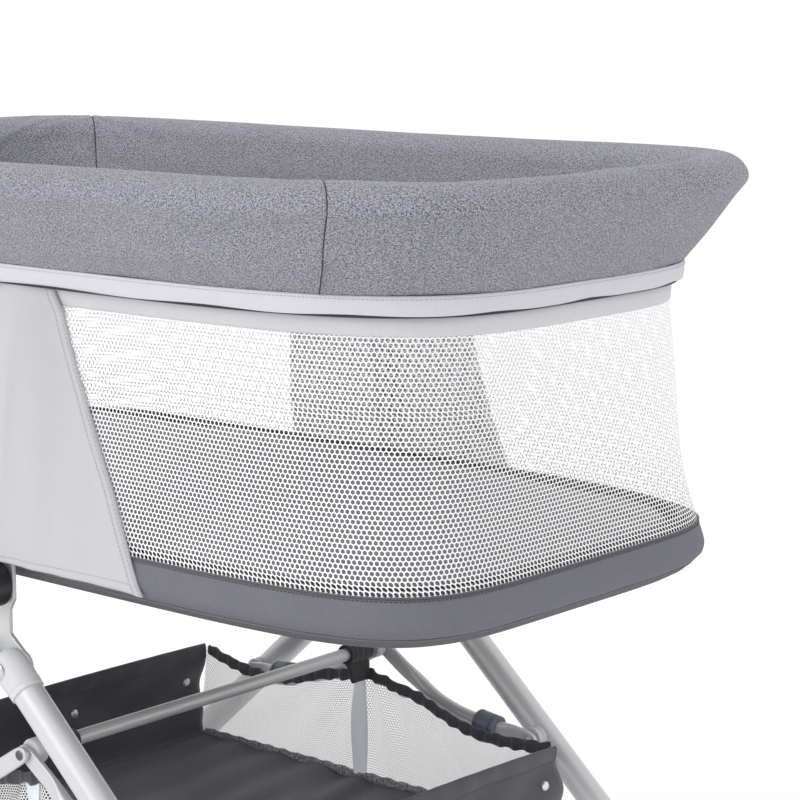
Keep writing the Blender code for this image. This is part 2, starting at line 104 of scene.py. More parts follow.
def add_area_light(name, place, target, size, power):
    light = bpy.data.lights.new(name, "AREA")
    light.shape = "SQUARE"
    light.size = size
    light.energy = power
    lamp = bpy.data.objects.new(name, light)
    lamp.location = place
    lamp.rotation_euler = (Vector(target) - Vector(place)).to_track_quat("-Z", "Y").to_euler()
    bpy.context.scene.collection.objects.link(lamp)


camera = bpy.data.objects.new("camera", bpy.data.cameras.new("camera"))
camera.location = CAMERA_PLACE
camera.rotation_euler = [math.radians(turn) for turn in CAMERA_TURN]
camera.data.lens = CAMERA_LENS
camera.data.sensor_width = 36.0
camera.data.clip_end = 200.0
bpy.context.scene.collection.objects.link(camera)
bpy.context.scene.camera = camera
bpy.context.scene.view_settings.view_transform = "Standard"

room = bpy.data.worlds.new("room")
room.use_nodes = True
room.node_tree.nodes["Background"].inputs["Color"].default_value = (1.0, 1.0, 1.0, 1.0)
room.node_tree.nodes["Background"].inputs["Strength"].default_value = ROOM_LIGHT
bpy.context.scene.world = room
add_area_light("front_light", (-0.9, -3.2, 2.7), (0.1, 0.0, 0.55), 2.6, 52.0)
add_area_light("end_light", (3.2, 1.6, 2.2), (0.2, 0.0, 0.5), 2.2, 3.0)

floor_finish, tree, shader = start_finish("white_floor", (0.96, 0.96, 0.96), 0.9)
dapple = put(tree, "ShaderNodeTexNoise", {"Scale": 3.0, "Detail": 3.0})
tree.links.new(mix_colours(tree, dapple.outputs["Fac"], (0.955, 0.955, 0.955, 1.0),
                           (0.97, 0.97, 0.97, 1.0)), shader.inputs["Base Color"])
floor_mesh = bpy.data.meshes.new("floor")
floor_mesh.from_pydata([(-FLOOR_HALF, -FLOOR_HALF, 0), (FLOOR_HALF, -FLOOR_HALF, 0),
                        (FLOOR_HALF, FLOOR_HALF, 0), (-FLOOR_HALF, FLOOR_HALF, 0)], [],
                       [(0, 1, 2, 3)])
floor_mesh.materials.append(floor_finish)
floor = bpy.data.objects.new("floor", floor_mesh)
bpy.context.scene.collection.objects.link(floor)

# Leg frames.
# Each is one bent steel tube: down a leg, across the floor and up the other leg, powder coated in
# a satin silver grey.  Plastic sleeves close the upper ends.
SIDES = (("near", -1), ("far", 1))
ENDS = (("left", -1), ("right", 1))
LEG_RADIUS = 0.0125
LEG_PLANE = 0.2407
PIVOT = Vector(joints["legs_right_fold"]["pos_m"])
BAR_Z = 0.075
BAR_X = PIVOT.x + (PIVOT.z - BAR_Z) / 0.90
LEG_UNIT = Vector((BAR_X - PIVOT.x, 0, BAR_Z - PIVOT.z)).normalized()
BAR_CORNER = 0.055
SOCKET_FROM = 0.0168


def add_piece(name, vertices, faces, finish, sharp=40, closed=True):
    """A mesh piece with its finish, shaded smooth between its sharp edges."""
    mesh = bpy.data.meshes.new(name)
    mesh.from_pydata([tuple(map(float, v)) for v in vertices], [], faces)
    body = bmesh.new()
    body.from_mesh(mesh)
    if closed:
        bmesh.ops.remove_doubles(body, verts=body.verts, dist=1e-6)
        bmesh.ops.recalc_face_normals(body, faces=body.faces)
    body.to_mesh(mesh)
    body.free()
    mesh.shade_smooth()
    mesh.set_sharp_from_angle(angle=math.radians(sharp))
    mesh.materials.append(finish)
    piece = bpy.data.objects.new(name, mesh)
    bpy.context.scene.collection.objects.link(piece)
    return piece


def ring_faces(rings, count, ends=True):
    """Faces of a skin through rings of count points each, with flat ends."""
    faces = [(a * count + i, a * count + (i + 1) % count,
              (a + 1) * count + (i + 1) % count, (a + 1) * count + i)
             for a in range(rings - 1) for i in range(count)]
    if ends:
        faces.append(tuple(range(count)))
        faces.append(tuple(range((rings - 1) * count, rings * count)))
    return faces


def rounded_path(points, radius, steps=10):
    """The points joined by straight runs, with each corner rounded to about the radius."""
    path = [Vector(points[0])]
    for before, corner, after in zip(points, points[1:], points[2:]):
        corner = Vector(corner)
        back, ahead = Vector(before) - corner, Vector(after) - corner
        reach = min(radius / math.tan(back.angle(ahead) / 2), back.length * 0.45, ahead.length * 0.45)
        start, end = corner + back.normalized() * reach, corner + ahead.normalized() * reach
        for i in range(steps + 1):
            t = i / steps
            path.append(start * (1 - t) ** 2 + corner * 2 * t * (1 - t) + end * t * t)
    path.append(Vector(points[-1]))
    return path


def sweep(path, section, across=(0, 1, 0)):
    """Rings square to the path; section(share along the path) gives (side, up) pairs."""
    side = Vector(across)
    vertices = []
    for i, point in enumerate(path):
        ahead = path[min(i + 1, len(path) - 1)] - point
        behind = point - path[max(i - 1, 0)]
        heading = (ahead.normalized() + behind.normalized()).normalized()
        side = (side - heading * side.dot(heading)).normalized()
        up = heading.cross(side)
        vertices += [point + side * a + up * b for a, b in section(i / (len(path) - 1))]
    return vertices


def circle(radius, sides=32):
    return [(radius * math.cos(2 * math.pi * i / sides), radius * math.sin(2 * math.pi * i / sides))
            for i in range(sides)]


def add_tube(name, path, radius, finish, sides=32, across=(0, 1, 0)):
    path = [Vector(p) for p in path]
    return add_piece(name, sweep(path, lambda share: circle(radius, sides), across),
                     ring_faces(len(path), sides), finish)


def start_group(name, inputs, outputs):
    """A shader node group with named sockets: inputs are name to (kind, value)."""
    group = bpy.data.node_groups.new(name, "ShaderNodeTree")
    for socket, (kind, value) in inputs.items():
        made = group.interface.new_socket(name=socket, in_out="INPUT", socket_type="NodeSocket" + kind)
        if value is not None:
            made.default_value = value
    for socket, kind in outputs.items():
        group.interface.new_socket(name=socket, in_out="OUTPUT", socket_type="NodeSocket" + kind)
    return group, put(group, "NodeGroupInput"), put(group, "NodeGroupOutput")


def use_group(tree, group, inputs):
    node = put(tree, "ShaderNodeGroup", node_tree=group)
    for socket, value in inputs.items():
        if isinstance(value, bpy.types.NodeSocket):
            tree.links.new(value, node.inputs[socket])
        else:
            node.inputs[socket].default_value = value
    return node.outputs


# grain: the fine pebble of sprayed paint or moulded plastic, and broad uneven patches
grain, entry, leave = start_group(
    "grain", {"Vector": ("Vector", None), "Pebble": ("Float", 1400.0), "Patch": ("Float", 14.0)},
    {"Height": "Float", "Patches": "Float", "Specks": "Float"})
pebble = put(grain, "ShaderNodeTexNoise", {"Vector": entry.outputs["Vector"],
                                           "Scale": entry.outputs["Pebble"], "Detail": 2.0})
patch = put(grain, "ShaderNodeTexNoise", {"Vector": entry.outputs["Vector"],
                                          "Scale": entry.outputs["Patch"], "Detail": 5.0})
speck = put(grain, "ShaderNodeTexVoronoi", {
    "Vector": entry.outputs["Vector"],
    "Scale": calculate(grain, "MULTIPLY", entry.outputs["Pebble"], 0.6)})
grain.links.new(pebble.outputs["Fac"], leave.inputs["Height"])
grain.links.new(patch.outputs["Fac"], leave.inputs["Patches"])
grain.links.new(calculate(grain, "LESS_THAN", speck.outputs["Distance"], 0.16), leave.inputs["Specks"])

# edge wear: a broken mask along the sharp outer edges
edge_wear, entry, leave = start_group(
    "edge_wear", {"Vector": ("Vector", None), "Reach": ("Float", 0.53)}, {"Mask": "Float"})
bend = put(edge_wear, "ShaderNodeNewGeometry").outputs["Pointiness"]
chips = put(edge_wear, "ShaderNodeTexNoise", {"Vector": entry.outputs["Vector"], "Scale": 160.0,
                                              "Detail": 4.0}).outputs["Fac"]
raised = calculate(edge_wear, "MULTIPLY",
                   calculate(edge_wear, "SUBTRACT", bend, entry.outputs["Reach"]), 14.0)
broken = calculate(edge_wear, "MULTIPLY", raised, chips)
edge_wear.links.new(put(edge_wear, "ShaderNodeClamp", {"Value": broken}).outputs[0], leave.inputs["Mask"])


def hard_finish(name, colour, roughness, pebble=1400.0, relief=0.00006, worn=(0.8, 0.8, 0.8),
                patchy=0.06, **uniform):
    """Painted metal or moulded plastic: pebbled, a little uneven, and rubbed lighter on its edges."""
    finish, tree, shader = start_finish(name, colour, roughness, **uniform)
    place = put(tree, "ShaderNodeTexCoord").outputs["Object"]
    fine = use_group(tree, grain, {"Vector": place, "Pebble": pebble})
    wear = use_group(tree, edge_wear, {"Vector": place})["Mask"]
    darker = tuple(c * (1 - patchy) for c in colour) + (1.0,)
    lighter = tuple(min(1.0, c * (1 + patchy)) for c in colour) + (1.0,)
    tone = mix_colours(tree, fine["Patches"], darker, lighter)
    tone = mix_colours(tree, calculate(tree, "MULTIPLY", fine["Specks"], 0.10), tone, (*worn, 1.0))
    tone = mix_colours(tree, calculate(tree, "MULTIPLY", wear, 0.35), tone, (*worn, 1.0))
    tree.links.new(tone, shader.inputs["Base Color"])
    rough = calculate(tree, "ADD", calculate(tree, "MULTIPLY", fine["Patches"], 0.16), roughness - 0.08)
    tree.links.new(rough, shader.inputs["Roughness"])
    bump = put(tree, "ShaderNodeBump", {"Height": fine["Height"], "Distance": relief, "Strength": 1.0})
    tree.links.new(bump.outputs[0], shader.inputs["Normal"])
    return finish


silver_coat = hard_finish("silver_coat", (0.56, 0.565, 0.575), 0.36, worn=(0.72, 0.72, 0.73),
                          Metallic=0.25, Coat_Weight=0.15, Coat_Roughness=0.25)


def on_leg(distance, x_sign, y):
    point = Vector((PIVOT.x, 0, PIVOT.z)) + LEG_UNIT * distance
    return Vector((x_sign * point.x, y, point.z))


for end, x_sign in ENDS:
    corner_x = x_sign * BAR_X
    path = rounded_path([on_leg(SOCKET_FROM, x_sign, -LEG_PLANE), (corner_x, -LEG_PLANE, BAR_Z),
                         (corner_x, LEG_PLANE, BAR_Z), on_leg(SOCKET_FROM, x_sign, LEG_PLANE)],
                        BAR_CORNER)
    leg_tube = add_tube("leg_tube_" + end, path, LEG_RADIUS, silver_coat)
    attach(leg_tube, "legs_" + end)
    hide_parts("leg_frame_" + end)

# Leg sleeves.
# A moulded sleeve with a domed end plugs on to each leg and turns on the hub's stub axle; a domed
# steel rivet holds it there.
SLEEVE_RADIUS = 0.0148
SLEEVE_STATIONS = ((-0.0148, 0.20), (-0.0143, 0.42), (-0.0130, 0.62), (-0.0105, 0.80), (-0.0070, 0.93),
                   (-0.0030, 0.99), (0.0, 1.0), (0.0060, 1.0), (0.0120, 0.99), (0.0170, 0.965),
                   (0.0200, 0.950), (0.0203, 0.935), (0.0209, 0.935), (0.0212, 0.948), (0.0242, 0.940),
                   (0.0248, 0.910))
HUB_OUT = 0.2330
RELIEF_RADIUS = 0.0168
RIVET_RADIUS = 0.0072

sleeve_plastic = hard_finish("sleeve_plastic", (0.575, 0.58, 0.59), 0.42, pebble=1900.0, relief=0.00004,
                             worn=(0.74, 0.74, 0.75))
bright_steel = hard_finish("bright_steel", (0.55, 0.55, 0.56), 0.28, pebble=2400.0, relief=0.00002,
                           worn=(0.85, 0.85, 0.85), Metallic=0.95)


def fastener_mesh(name, radius, height, finish, cross=False, sides=16):
    """Head that points along +Z from z = 0, with a cross recess if it is a screw."""
    profile = [(0.0, radius), (height * 0.35, radius), (height * 0.75, radius * 0.86),
               (height * 0.97, radius * 0.55)]
    vertices = [(r * math.cos(2 * math.pi * i / sides), r * math.sin(2 * math.pi * i / sides), z)
                for z, r in profile for i in range(sides)]
    faces = ring_faces(len(profile), sides)
    made = add_piece(name, vertices, faces, finish, sharp=50)
    if cross:
        for turn in (0, 1):
            arm, width = radius * 0.62, radius * 0.16
            half = (arm, width) if turn == 0 else (width, arm)
            box = [(x * half[0], y * half[1], z) for z in (height * 0.45, height * 1.6)
                   for x, y in ((-1, -1), (1, -1), (1, 1), (-1, 1))]
            cutter = add_piece("cutter", box, ring_faces(2, 4), finish)
            cut = made.modifiers.new("recess", "BOOLEAN")
            cut.operation = "DIFFERENCE"
            cut.solver = "EXACT"
            cut.object = cutter
            bpy.context.view_layer.update()
            result = bpy.data.meshes.new_from_object(
                made.evaluated_get(bpy.context.evaluated_depsgraph_get()))
            made.modifiers.clear()
            made.data = result
            bpy.data.objects.remove(cutter, do_unlink=True)
    return made


def start_geometry_tree(name, inputs):
    """A Geometry Nodes tree with named inputs; it returns the tree, its inputs and its output node."""
    tree = bpy.data.node_groups.new(name, "GeometryNodeTree")
    tree.interface.new_socket(name="Geometry", in_out="INPUT", socket_type="NodeSocketGeometry")
    for socket, kind in inputs.items():
        tree.interface.new_socket(name=socket, in_out="INPUT", socket_type="NodeSocket" + kind)
    tree.interface.new_socket(name="Geometry", in_out="OUTPUT", socket_type="NodeSocketGeometry")
    return tree, put(tree, "NodeGroupInput").outputs, put(tree, "NodeGroupOutput")


def run_tree(name, tree, base, values):
    """A plain mesh piece from a tree that works on the base mesh with the given input values."""
    holder = bpy.data.objects.new(name + "_base", base)
    bpy.context.scene.collection.objects.link(holder)
    maker = holder.modifiers.new("maker", "NODES")
    maker.node_group = tree
    sockets = {item.name: item.identifier for item in tree.interface.items_tree
               if item.in_out == "INPUT" and item.item_type == "SOCKET"}
    for socket, value in values.items():
        maker[sockets[socket]] = value
    bpy.context.view_layer.update()
    mesh = bpy.data.meshes.new_from_object(holder.evaluated_get(bpy.context.evaluated_depsgraph_get()))
    holder.modifiers.clear()
    bpy.data.objects.remove(holder, do_unlink=True)
    mesh.name = name
    piece = bpy.data.objects.new(name, mesh)
    bpy.context.scene.collection.objects.link(piece)
    return piece


# fasteners: one copy of a head at each point, turned so that it stands along its point's normal
fasteners, entry, leave = start_geometry_tree("fasteners", {"Head": "Object", "Finish": "Material"})
heading = put(fasteners, "GeometryNodeInputNamedAttribute", {"Name": "heading"}, data_type="FLOAT_VECTOR")
stand = put(fasteners, "FunctionNodeAlignRotationToVector", {"Vector": heading.outputs[0]}, axis="Z")
head = put(fasteners, "GeometryNodeObjectInfo", {"Object": entry["Head"]}, transform_space="ORIGINAL")
copies = put(fasteners, "GeometryNodeInstanceOnPoints",
             {"Points": entry["Geometry"], "Instance": head.outputs["Geometry"],
              "Rotation": stand.outputs["Rotation"]})
real = put(fasteners, "GeometryNodeRealizeInstances", {"Geometry": copies.outputs["Instances"]})
coated = put(fasteners, "GeometryNodeSetMaterial", {"Geometry": real.outputs[0], "Material": entry["Finish"]})
fasteners.links.new(coated.outputs[0], leave.inputs[0])


def add_fasteners(name, places, head, finish):
    """Copies of a head at (point, heading) places, in one piece."""
    base = bpy.data.meshes.new(name)
    base.from_pydata([tuple(point) for point, _ in places], [], [])
    pointing = base.attributes.new("heading", "FLOAT_VECTOR", "POINT")
    pointing.data.foreach_set("vector", [c for _, heading in places for c in heading])
    piece = run_tree(name, fasteners, base, {"Head": head, "Finish": finish})
    piece.data.shade_smooth()
    piece.data.set_sharp_from_angle(angle=math.radians(45))
    return piece


rivet_head = fastener_mesh("rivet_head", RIVET_RADIUS, 0.0022, bright_steel)
for end, x_sign in ENDS:
    rivets = []
    for side, y_sign in SIDES:
        y = y_sign * LEG_PLANE
        path = [on_leg(distance, x_sign, y) for distance, _ in SLEEVE_STATIONS]
        widths = [share for _, share in SLEEVE_STATIONS]
        last = len(path) - 1
        ring = circle(SLEEVE_RADIUS)
        vertices = sweep(path, lambda share: [
            (a * widths[round(share * last)], b * widths[round(share * last)]) for a, b in ring])
        for point in vertices:
            if math.hypot(point.x - x_sign * PIVOT.x, point.z - PIVOT.z) < RELIEF_RADIUS:
                point.y = y_sign * max(abs(point.y), HUB_OUT + 0.0004)
        sleeve = add_piece("sleeve_%s_%s" % (end, side), vertices, ring_faces(len(path), len(ring)),
                           sleeve_plastic)
        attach(sleeve, "legs_" + end)
        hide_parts("leg_sleeve_%s_%s" % (end, side))
        rivets.append(((x_sign * PIVOT.x, y + y_sign * (SLEEVE_RADIUS - 0.0006), PIVOT.z), (0, y_sign, 0)))
    pivot_rivets = add_fasteners("pivot_rivets_" + end, rivets, rivet_head, bright_steel)
    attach(pivot_rivets, "legs_" + end)
bpy.data.objects.remove(rivet_head, do_unlink=True)

# Hub plates and release knobs.
# A pressed steel plate with two stub axles hangs the tub on the legs at each side.  A round black
# knob with a finger ridge is pushed in to let the legs fold.
HUB_EDGE = ((0.0115, 0.4812), (0.0115, 0.4360), (0.0062, 0.4270), (0.0062, 0.4080))
HUB_IN, LOBE_RADIUS = 0.2290, 0.0128
STUB_PROFILE = ((0.2315, 0.0058), (0.2558, 0.0058), (0.2563, 0.0052), (0.2563, 0.0010))
KNOB_CENTRE = sum(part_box("release_knob_near"), Vector()) / 2
KNOB_PROFILE = ((0.2325, 0.0058), (0.2372, 0.0060), (0.2376, 0.0168), (0.2384, 0.0178), (0.2400, 0.0180),
                (0.2520, 0.0180), (0.2552, 0.0176), (0.2580, 0.0164), (0.2590, 0.0150), (0.2586, 0.0142),
                (0.2586, 0.0134), (0.2597, 0.0126), (0.2611, 0.0100), (0.2618, 0.0060), (0.2620, 0.0020))

black_plastic = hard_finish("black_plastic", (0.016, 0.016, 0.018), 0.45, worn=(0.10, 0.10, 0.11))


def add_turned(name, start, along, profile, finish, sides=40, sharp=40):
    """A turned piece: profile is (distance along the axis, radius)."""
    along = Vector(along).normalized()
    side = along.orthogonal().normalized()
    up = along.cross(side)
    start = Vector(start)
    vertices = [start + along * distance + side * a + up * b
                for distance, radius in profile for a, b in circle(radius, sides)]
    return add_piece(name, vertices, ring_faces(len(profile), sides), finish, sharp)


def add_plate(name, outline, y_from, y_to, finish, bevel=0.0008):
    """A flat outline in X and Z with rounded edges, thick from y_from to y_to."""
    vertices = [(x, y, z) for y in (y_from, y_to) for x, z in outline]
    made = add_piece(name, vertices, ring_faces(2, len(outline)), finish)
    edge = made.modifiers.new("edge", "BEVEL")
    edge.width = bevel
    edge.segments = 2
    edge.limit_method = "ANGLE"
    return made


for side, y_sign in SIDES:
    lobe = [(abs(PIVOT.x) + LOBE_RADIUS * math.cos(math.radians(a)),
             PIVOT.z + LOBE_RADIUS * math.sin(math.radians(a)))
            for a in (75, 50, 25, 0, -25, -50, -75, -100)]
    half = [*HUB_EDGE, *lobe, (0.0, PIVOT.z - 0.0100)]
    outline = half + [(-x, z) for x, z in reversed(half[:-1])]
    hub = add_plate("hub_" + side, outline[::y_sign],
                    *sorted((y_sign * HUB_IN, y_sign * HUB_OUT)), silver_coat)
    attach(hub, "tub")
    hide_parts("hub_plate_" + side)
    for end, x_sign in ENDS:
        stub = add_turned("hub_stub_%s_%s" % (end, side), (x_sign * abs(PIVOT.x), 0, PIVOT.z), (0, y_sign, 0),
                          STUB_PROFILE, silver_coat, sides=24)
        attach(stub, "tub")
    knob = add_turned("knob_" + side, (KNOB_CENTRE.x, 0, KNOB_CENTRE.z), (0, y_sign, 0), KNOB_PROFILE,
                      black_plastic, sides=56)
    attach(knob, "release_" + side)
    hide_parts("release_knob_" + side)

# Casters and brakes.
# A nylon fork swivels under the floor bar on its stem and carries a wheel with a soft grey tyre on
# a dished hub.  The two right-hand casters have a foot brake lever.
CASTER_Y = 0.180
CASTER_TRAIL = 0.016
WHEEL_RADIUS = 0.025
CHEEK_OUTLINE = ((-0.0100, 0.0500), (-0.0100, 0.0565), (-0.0085, 0.0578), (0.0275, 0.0578), (0.0300, 0.0562),
                 (0.0310, 0.0520), (0.0275, 0.0360), (0.0240, 0.0225), (0.0215, 0.0180), (0.0160, 0.0165),
                 (0.0105, 0.0180), (0.0080, 0.0225), (0.0020, 0.0360), (-0.0050, 0.0460))
TYRE_PROFILE = ((-0.0088, 0.0195), (-0.0090, 0.0215), (-0.0084, 0.0233), (-0.0066, 0.0246), (-0.0035, 0.0250),
                (0.0, 0.0250), (0.0035, 0.0250), (0.0066, 0.0246), (0.0084, 0.0233), (0.0090, 0.0215),
                (0.0088, 0.0195), (0.0060, 0.0188), (-0.0060, 0.0188))
HUB_PROFILE = ((-0.0086, 0.0034), (-0.0088, 0.0075), (-0.0074, 0.0088), (-0.0062, 0.0170), (-0.0080, 0.0192),
               (0.0080, 0.0192), (0.0062, 0.0170), (0.0074, 0.0088), (0.0088, 0.0075), (0.0086, 0.0034))
LEVER_OUTLINE = ((-0.0020, 0.0522), (-0.0020, 0.0575), (0.0055, 0.0562), (0.0130, 0.0540), (0.0200, 0.0528),
                 (0.0222, 0.0512), (0.0205, 0.0488), (0.0130, 0.0492), (0.0055, 0.0502))

tyre_rubber = hard_finish("tyre_rubber", (0.045, 0.045, 0.048), 0.72, pebble=900.0, relief=0.00012,
                          worn=(0.16, 0.16, 0.16), patchy=0.2)
hub_plastic = hard_finish("hub_plastic", (0.30, 0.305, 0.315), 0.45, worn=(0.5, 0.5, 0.5))
slate_plastic = hard_finish("slate_plastic", (0.122, 0.142, 0.182), 0.42, worn=(0.25, 0.27, 0.30))


def join_pieces(name, parts):
    """One plain mesh piece from several, their modifiers applied."""
    bpy.context.view_layer.update()
    graph = bpy.context.evaluated_depsgraph_get()
    body = bmesh.new()
    finishes = []
    for part in parts:
        evaluated = bpy.data.meshes.new_from_object(part.evaluated_get(graph))
        if evaluated.materials[0] not in finishes:
            finishes.append(evaluated.materials[0])
        for polygon in evaluated.polygons:
            polygon.material_index = finishes.index(evaluated.materials[0])
        body.from_mesh(evaluated)
        bpy.data.meshes.remove(evaluated)
    mesh = bpy.data.meshes.new(name)
    body.to_mesh(mesh)
    body.free()
    for finish in finishes:
        mesh.materials.append(finish)
    mesh.set_sharp_from_angle(angle=math.radians(40))
    for part in parts:
        bpy.data.objects.remove(part, do_unlink=True)
    made = bpy.data.objects.new(name, mesh)
    bpy.context.scene.collection.objects.link(made)
    return made


for end, x_sign in ENDS:
    for side, y_sign in SIDES:
        place = end + "_" + side
        stem_x, y = x_sign * BAR_X, y_sign * CASTER_Y
        axle_x = stem_x + x_sign * CASTER_TRAIL
        cheek = [(stem_x + x_sign * x, z) for x, z in CHEEK_OUTLINE]
        crown = [(stem_x + x_sign * x, z) for x, z in ((-0.0090, 0.0520), (-0.0090, 0.0572), (0.0285, 0.0572),
                                                       (0.0290, 0.0530))]
        fork = join_pieces("fork_" + place, [
            add_plate("cheek_a", cheek, y + 0.0095, y + 0.0127, black_plastic),
            add_plate("cheek_b", cheek, y - 0.0127, y - 0.0095, black_plastic),
            add_plate("crown", crown, y - 0.0110, y + 0.0110, black_plastic),
            add_turned("stem", (stem_x, y, 0.0550), (0, 0, 1),
                       ((0.0, 0.0105), (0.0035, 0.0105), (0.0040, 0.0080), (0.0070, 0.0080)), black_plastic),
            add_turned("axle", (axle_x, y, WHEEL_RADIUS), (0, 1, 0),
                       ((-0.0138, 0.0030), (-0.0136, 0.0042), (-0.0127, 0.0045), (-0.0120, 0.0030),
                        (0.0120, 0.0030), (0.0127, 0.0045), (0.0136, 0.0042), (0.0138, 0.0030)),
                       bright_steel, 24)])
        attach(fork, "caster_" + place)
        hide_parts("caster_fork_" + place)
        wheel_middle = (axle_x, y, WHEEL_RADIUS)
        tyre = add_turned("tyre_" + place, wheel_middle, (0, 1, 0), TYRE_PROFILE + TYRE_PROFILE[:1],
                          tyre_rubber, 56)
        hub = add_turned("wheel_hub_" + place, wheel_middle, (0, 1, 0), HUB_PROFILE, hub_plastic, 56)
        for piece in (tyre, hub):
            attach(piece, "wheel_" + place)
        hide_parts("caster_wheel_" + place)
for side, y_sign in SIDES:
    pivot_x = BAR_X + 0.034
    y = y_sign * CASTER_Y
    parts = [add_plate("lever", [(pivot_x + x, z) for x, z in LEVER_OUTLINE], y - 0.0080, y + 0.0080,
                       slate_plastic, 0.0012)]
    for rib in range(4):
        rib_x = pivot_x + 0.0085 + 0.0032 * rib
        rib_z = 0.0553 - 0.0008 * rib
        parts.append(add_plate("rib", [(rib_x, rib_z - 0.0014), (rib_x, rib_z), (rib_x + 0.0012, rib_z),
                                       (rib_x + 0.0012, rib_z - 0.0014)], y - 0.0062, y + 0.0062,
                               slate_plastic, 0.0003))
    lever = join_pieces("brake_pedal_" + side, parts)
    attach(lever, "brake_" + side)
    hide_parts("brake_lever_" + side)

# Brace arms.
# Bent steel tube, flattened and rounded off at both ends: the inner end is pinned to the cross rail
# and the outer end is screwed to a light plastic bracket on the leg.  A slate clip sits on the arm.
ARM_PLANE = 0.2167
ARM_RADIUS = 0.0065
APEX_Z = 0.305
SCREW = Vector(joints["brace_right_turn"]["pos_m"])
TONGUE_THICKNESS = 0.0024          # half
# x, z, half height, half depth in Y, and how far the middle lies from the arm's plane
ARM_STATIONS = ((-0.0068, 0.3093, 0.0010, 1), (-0.0060, 0.3088, 0.0035, 1), (-0.0035, 0.3072, 0.0058, 1),
                (0.0, 0.3050, 0.0070, 1), (0.0100, 0.2986, 0.0072, 1), (0.0210, 0.2916, 0.0073, 1),
                (0.0290, 0.2865, 0.0072, 1), (0.0370, 0.2814, 0.0069, 0.6), (0.0440, 0.2770, 0.0066, 0.15),
                (0.0520, 0.2718, 0.0065, 0), (0.0600, 0.2671, 0.0065, 0), (0.0680, 0.2635, 0.0065, 0),
                (0.0770, 0.2604, 0.0065, 0), (0.0870, 0.2577, 0.0065, 0), (0.0980, 0.2556, 0.0065, 0),
                (0.1150, 0.2535, 0.0065, 0), (0.1290, 0.2518, 0.0065, 0), (0.1370, 0.2508, 0.0069, 0.25),
                (0.1450, 0.2498, 0.0078, 0.75), (0.1520, 0.2491, 0.0083, 1), (0.1620, 0.2480, 0.0084, 1),
                (0.1700, 0.24705, 0.0082, 1), (0.1745, 0.2465, 0.0070, 1), (0.1775, 0.2462, 0.0045, 1),
                (0.1784, 0.2461, 0.0012, 1))
CLIP_FROM, CLIP_TO = Vector((0.1135, 0, 0.2537)), Vector((0.1370, 0, 0.2508))
CLIP_PROFILE = ((0.0, 0.0070), (0.0002, 0.0104), (0.0010, 0.0112), (0.0034, 0.0112), (0.0037, 0.0105),
                (0.0050, 0.0104), (0.0053, 0.0112), (0.0180, 0.0112), (0.0183, 0.0104), (0.0196, 0.0105),
                (0.0199, 0.0112), (0.0226, 0.0112), (0.0234, 0.0105), (0.0236, 0.0070))
BRACKET_PROFILE = ((0.2203, 0.0070), (0.2204, 0.0098), (0.2212, 0.0105), (0.2228, 0.0105), (0.2236, 0.0098),
                   (0.2246, 0.0092), (0.2262, 0.0092), (0.2274, 0.0100), (0.2290, 0.0106), (0.2310, 0.0098))

bracket_plastic = hard_finish("bracket_plastic", (0.52, 0.53, 0.55), 0.45, worn=(0.7, 0.7, 0.7))
dark_steel = hard_finish("dark_steel", (0.10, 0.10, 0.11), 0.35, worn=(0.5, 0.5, 0.5), Metallic=0.8)


def arm_section(height, depth, flatness, sides=28):
    power = 2.0 / (2.0 + 3.0 * flatness)
    ring = []
    for i in range(sides):
        a = 2 * math.pi * i / sides
        ring.append((depth * math.copysign(abs(math.cos(a)) ** power, math.cos(a)),
                     height * math.copysign(abs(math.sin(a)) ** power, math.sin(a))))
    return ring


screw_head = fastener_mesh("screw_head", 0.0046, 0.0020, bright_steel, cross=True, sides=24)
pin_head = fastener_mesh("pin_head", 0.0042, 0.0012, dark_steel)
for end, x_sign in ENDS:
    inner_middle = 0.2139 if end == "right" else 0.2191
    outer_middle = 0.2175
    screws, pins = [], []
    for side, y_sign in SIDES:
        path, sections = [], []
        for x, z, height, flatness in ARM_STATIONS:
            flat_middle = inner_middle if x < 0.08 else outer_middle
            path.append(Vector((x_sign * x, y_sign * (ARM_PLANE + flatness * (flat_middle - ARM_PLANE)), z)))
            depth = ARM_RADIUS + flatness * (TONGUE_THICKNESS - ARM_RADIUS)
            sections.append(arm_section(height, depth, flatness))
        steps = len(path) - 1
        arm = add_piece("arm_%s_%s" % (end, side), sweep(path, lambda share: sections[round(share * steps)]),
                        ring_faces(len(path), 28), silver_coat)
        arm_smooth = arm.modifiers.new("smooth", "SUBSURF")
        arm_smooth.levels = arm_smooth.render_levels = 1
        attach(arm, "brace_" + end)
        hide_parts("brace_arm_%s_%s" % (end, side))
        start = Vector((x_sign * CLIP_FROM.x, y_sign * ARM_PLANE, CLIP_FROM.z))
        along = Vector((x_sign * (CLIP_TO.x - CLIP_FROM.x), 0, CLIP_TO.z - CLIP_FROM.z))
        clip = add_turned("clip_%s_%s" % (end, side), start, along, CLIP_PROFILE, slate_plastic)
        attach(clip, "brace_" + end)
        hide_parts("arm_clip_%s_%s" % (end, side))
        bracket = add_turned("bracket_%s_%s" % (end, side), (x_sign * SCREW.x, 0, SCREW.z), (0, y_sign, 0),
                             BRACKET_PROFILE, bracket_plastic)
        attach(bracket, "legs_" + end)
        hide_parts("arm_bracket_%s_%s" % (end, side))
        screws.append(((x_sign * SCREW.x, y_sign * (outer_middle - TONGUE_THICKNESS), SCREW.z),
                       (0, -y_sign, 0)))
        facing = y_sign if end == "left" else -y_sign
        pins.append(((0, y_sign * inner_middle + facing * TONGUE_THICKNESS, APEX_Z), (0, facing, 0)))
    arm_screws = add_fasteners("arm_screws_" + end, screws, screw_head, bright_steel)
    arm_pins = add_fasteners("arm_pins_" + end, pins, pin_head, dark_steel)
    for piece in (arm_screws, arm_pins):
        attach(piece, "brace_" + end)
for head in (screw_head, pin_head):
    bpy.data.objects.remove(head, do_unlink=True)

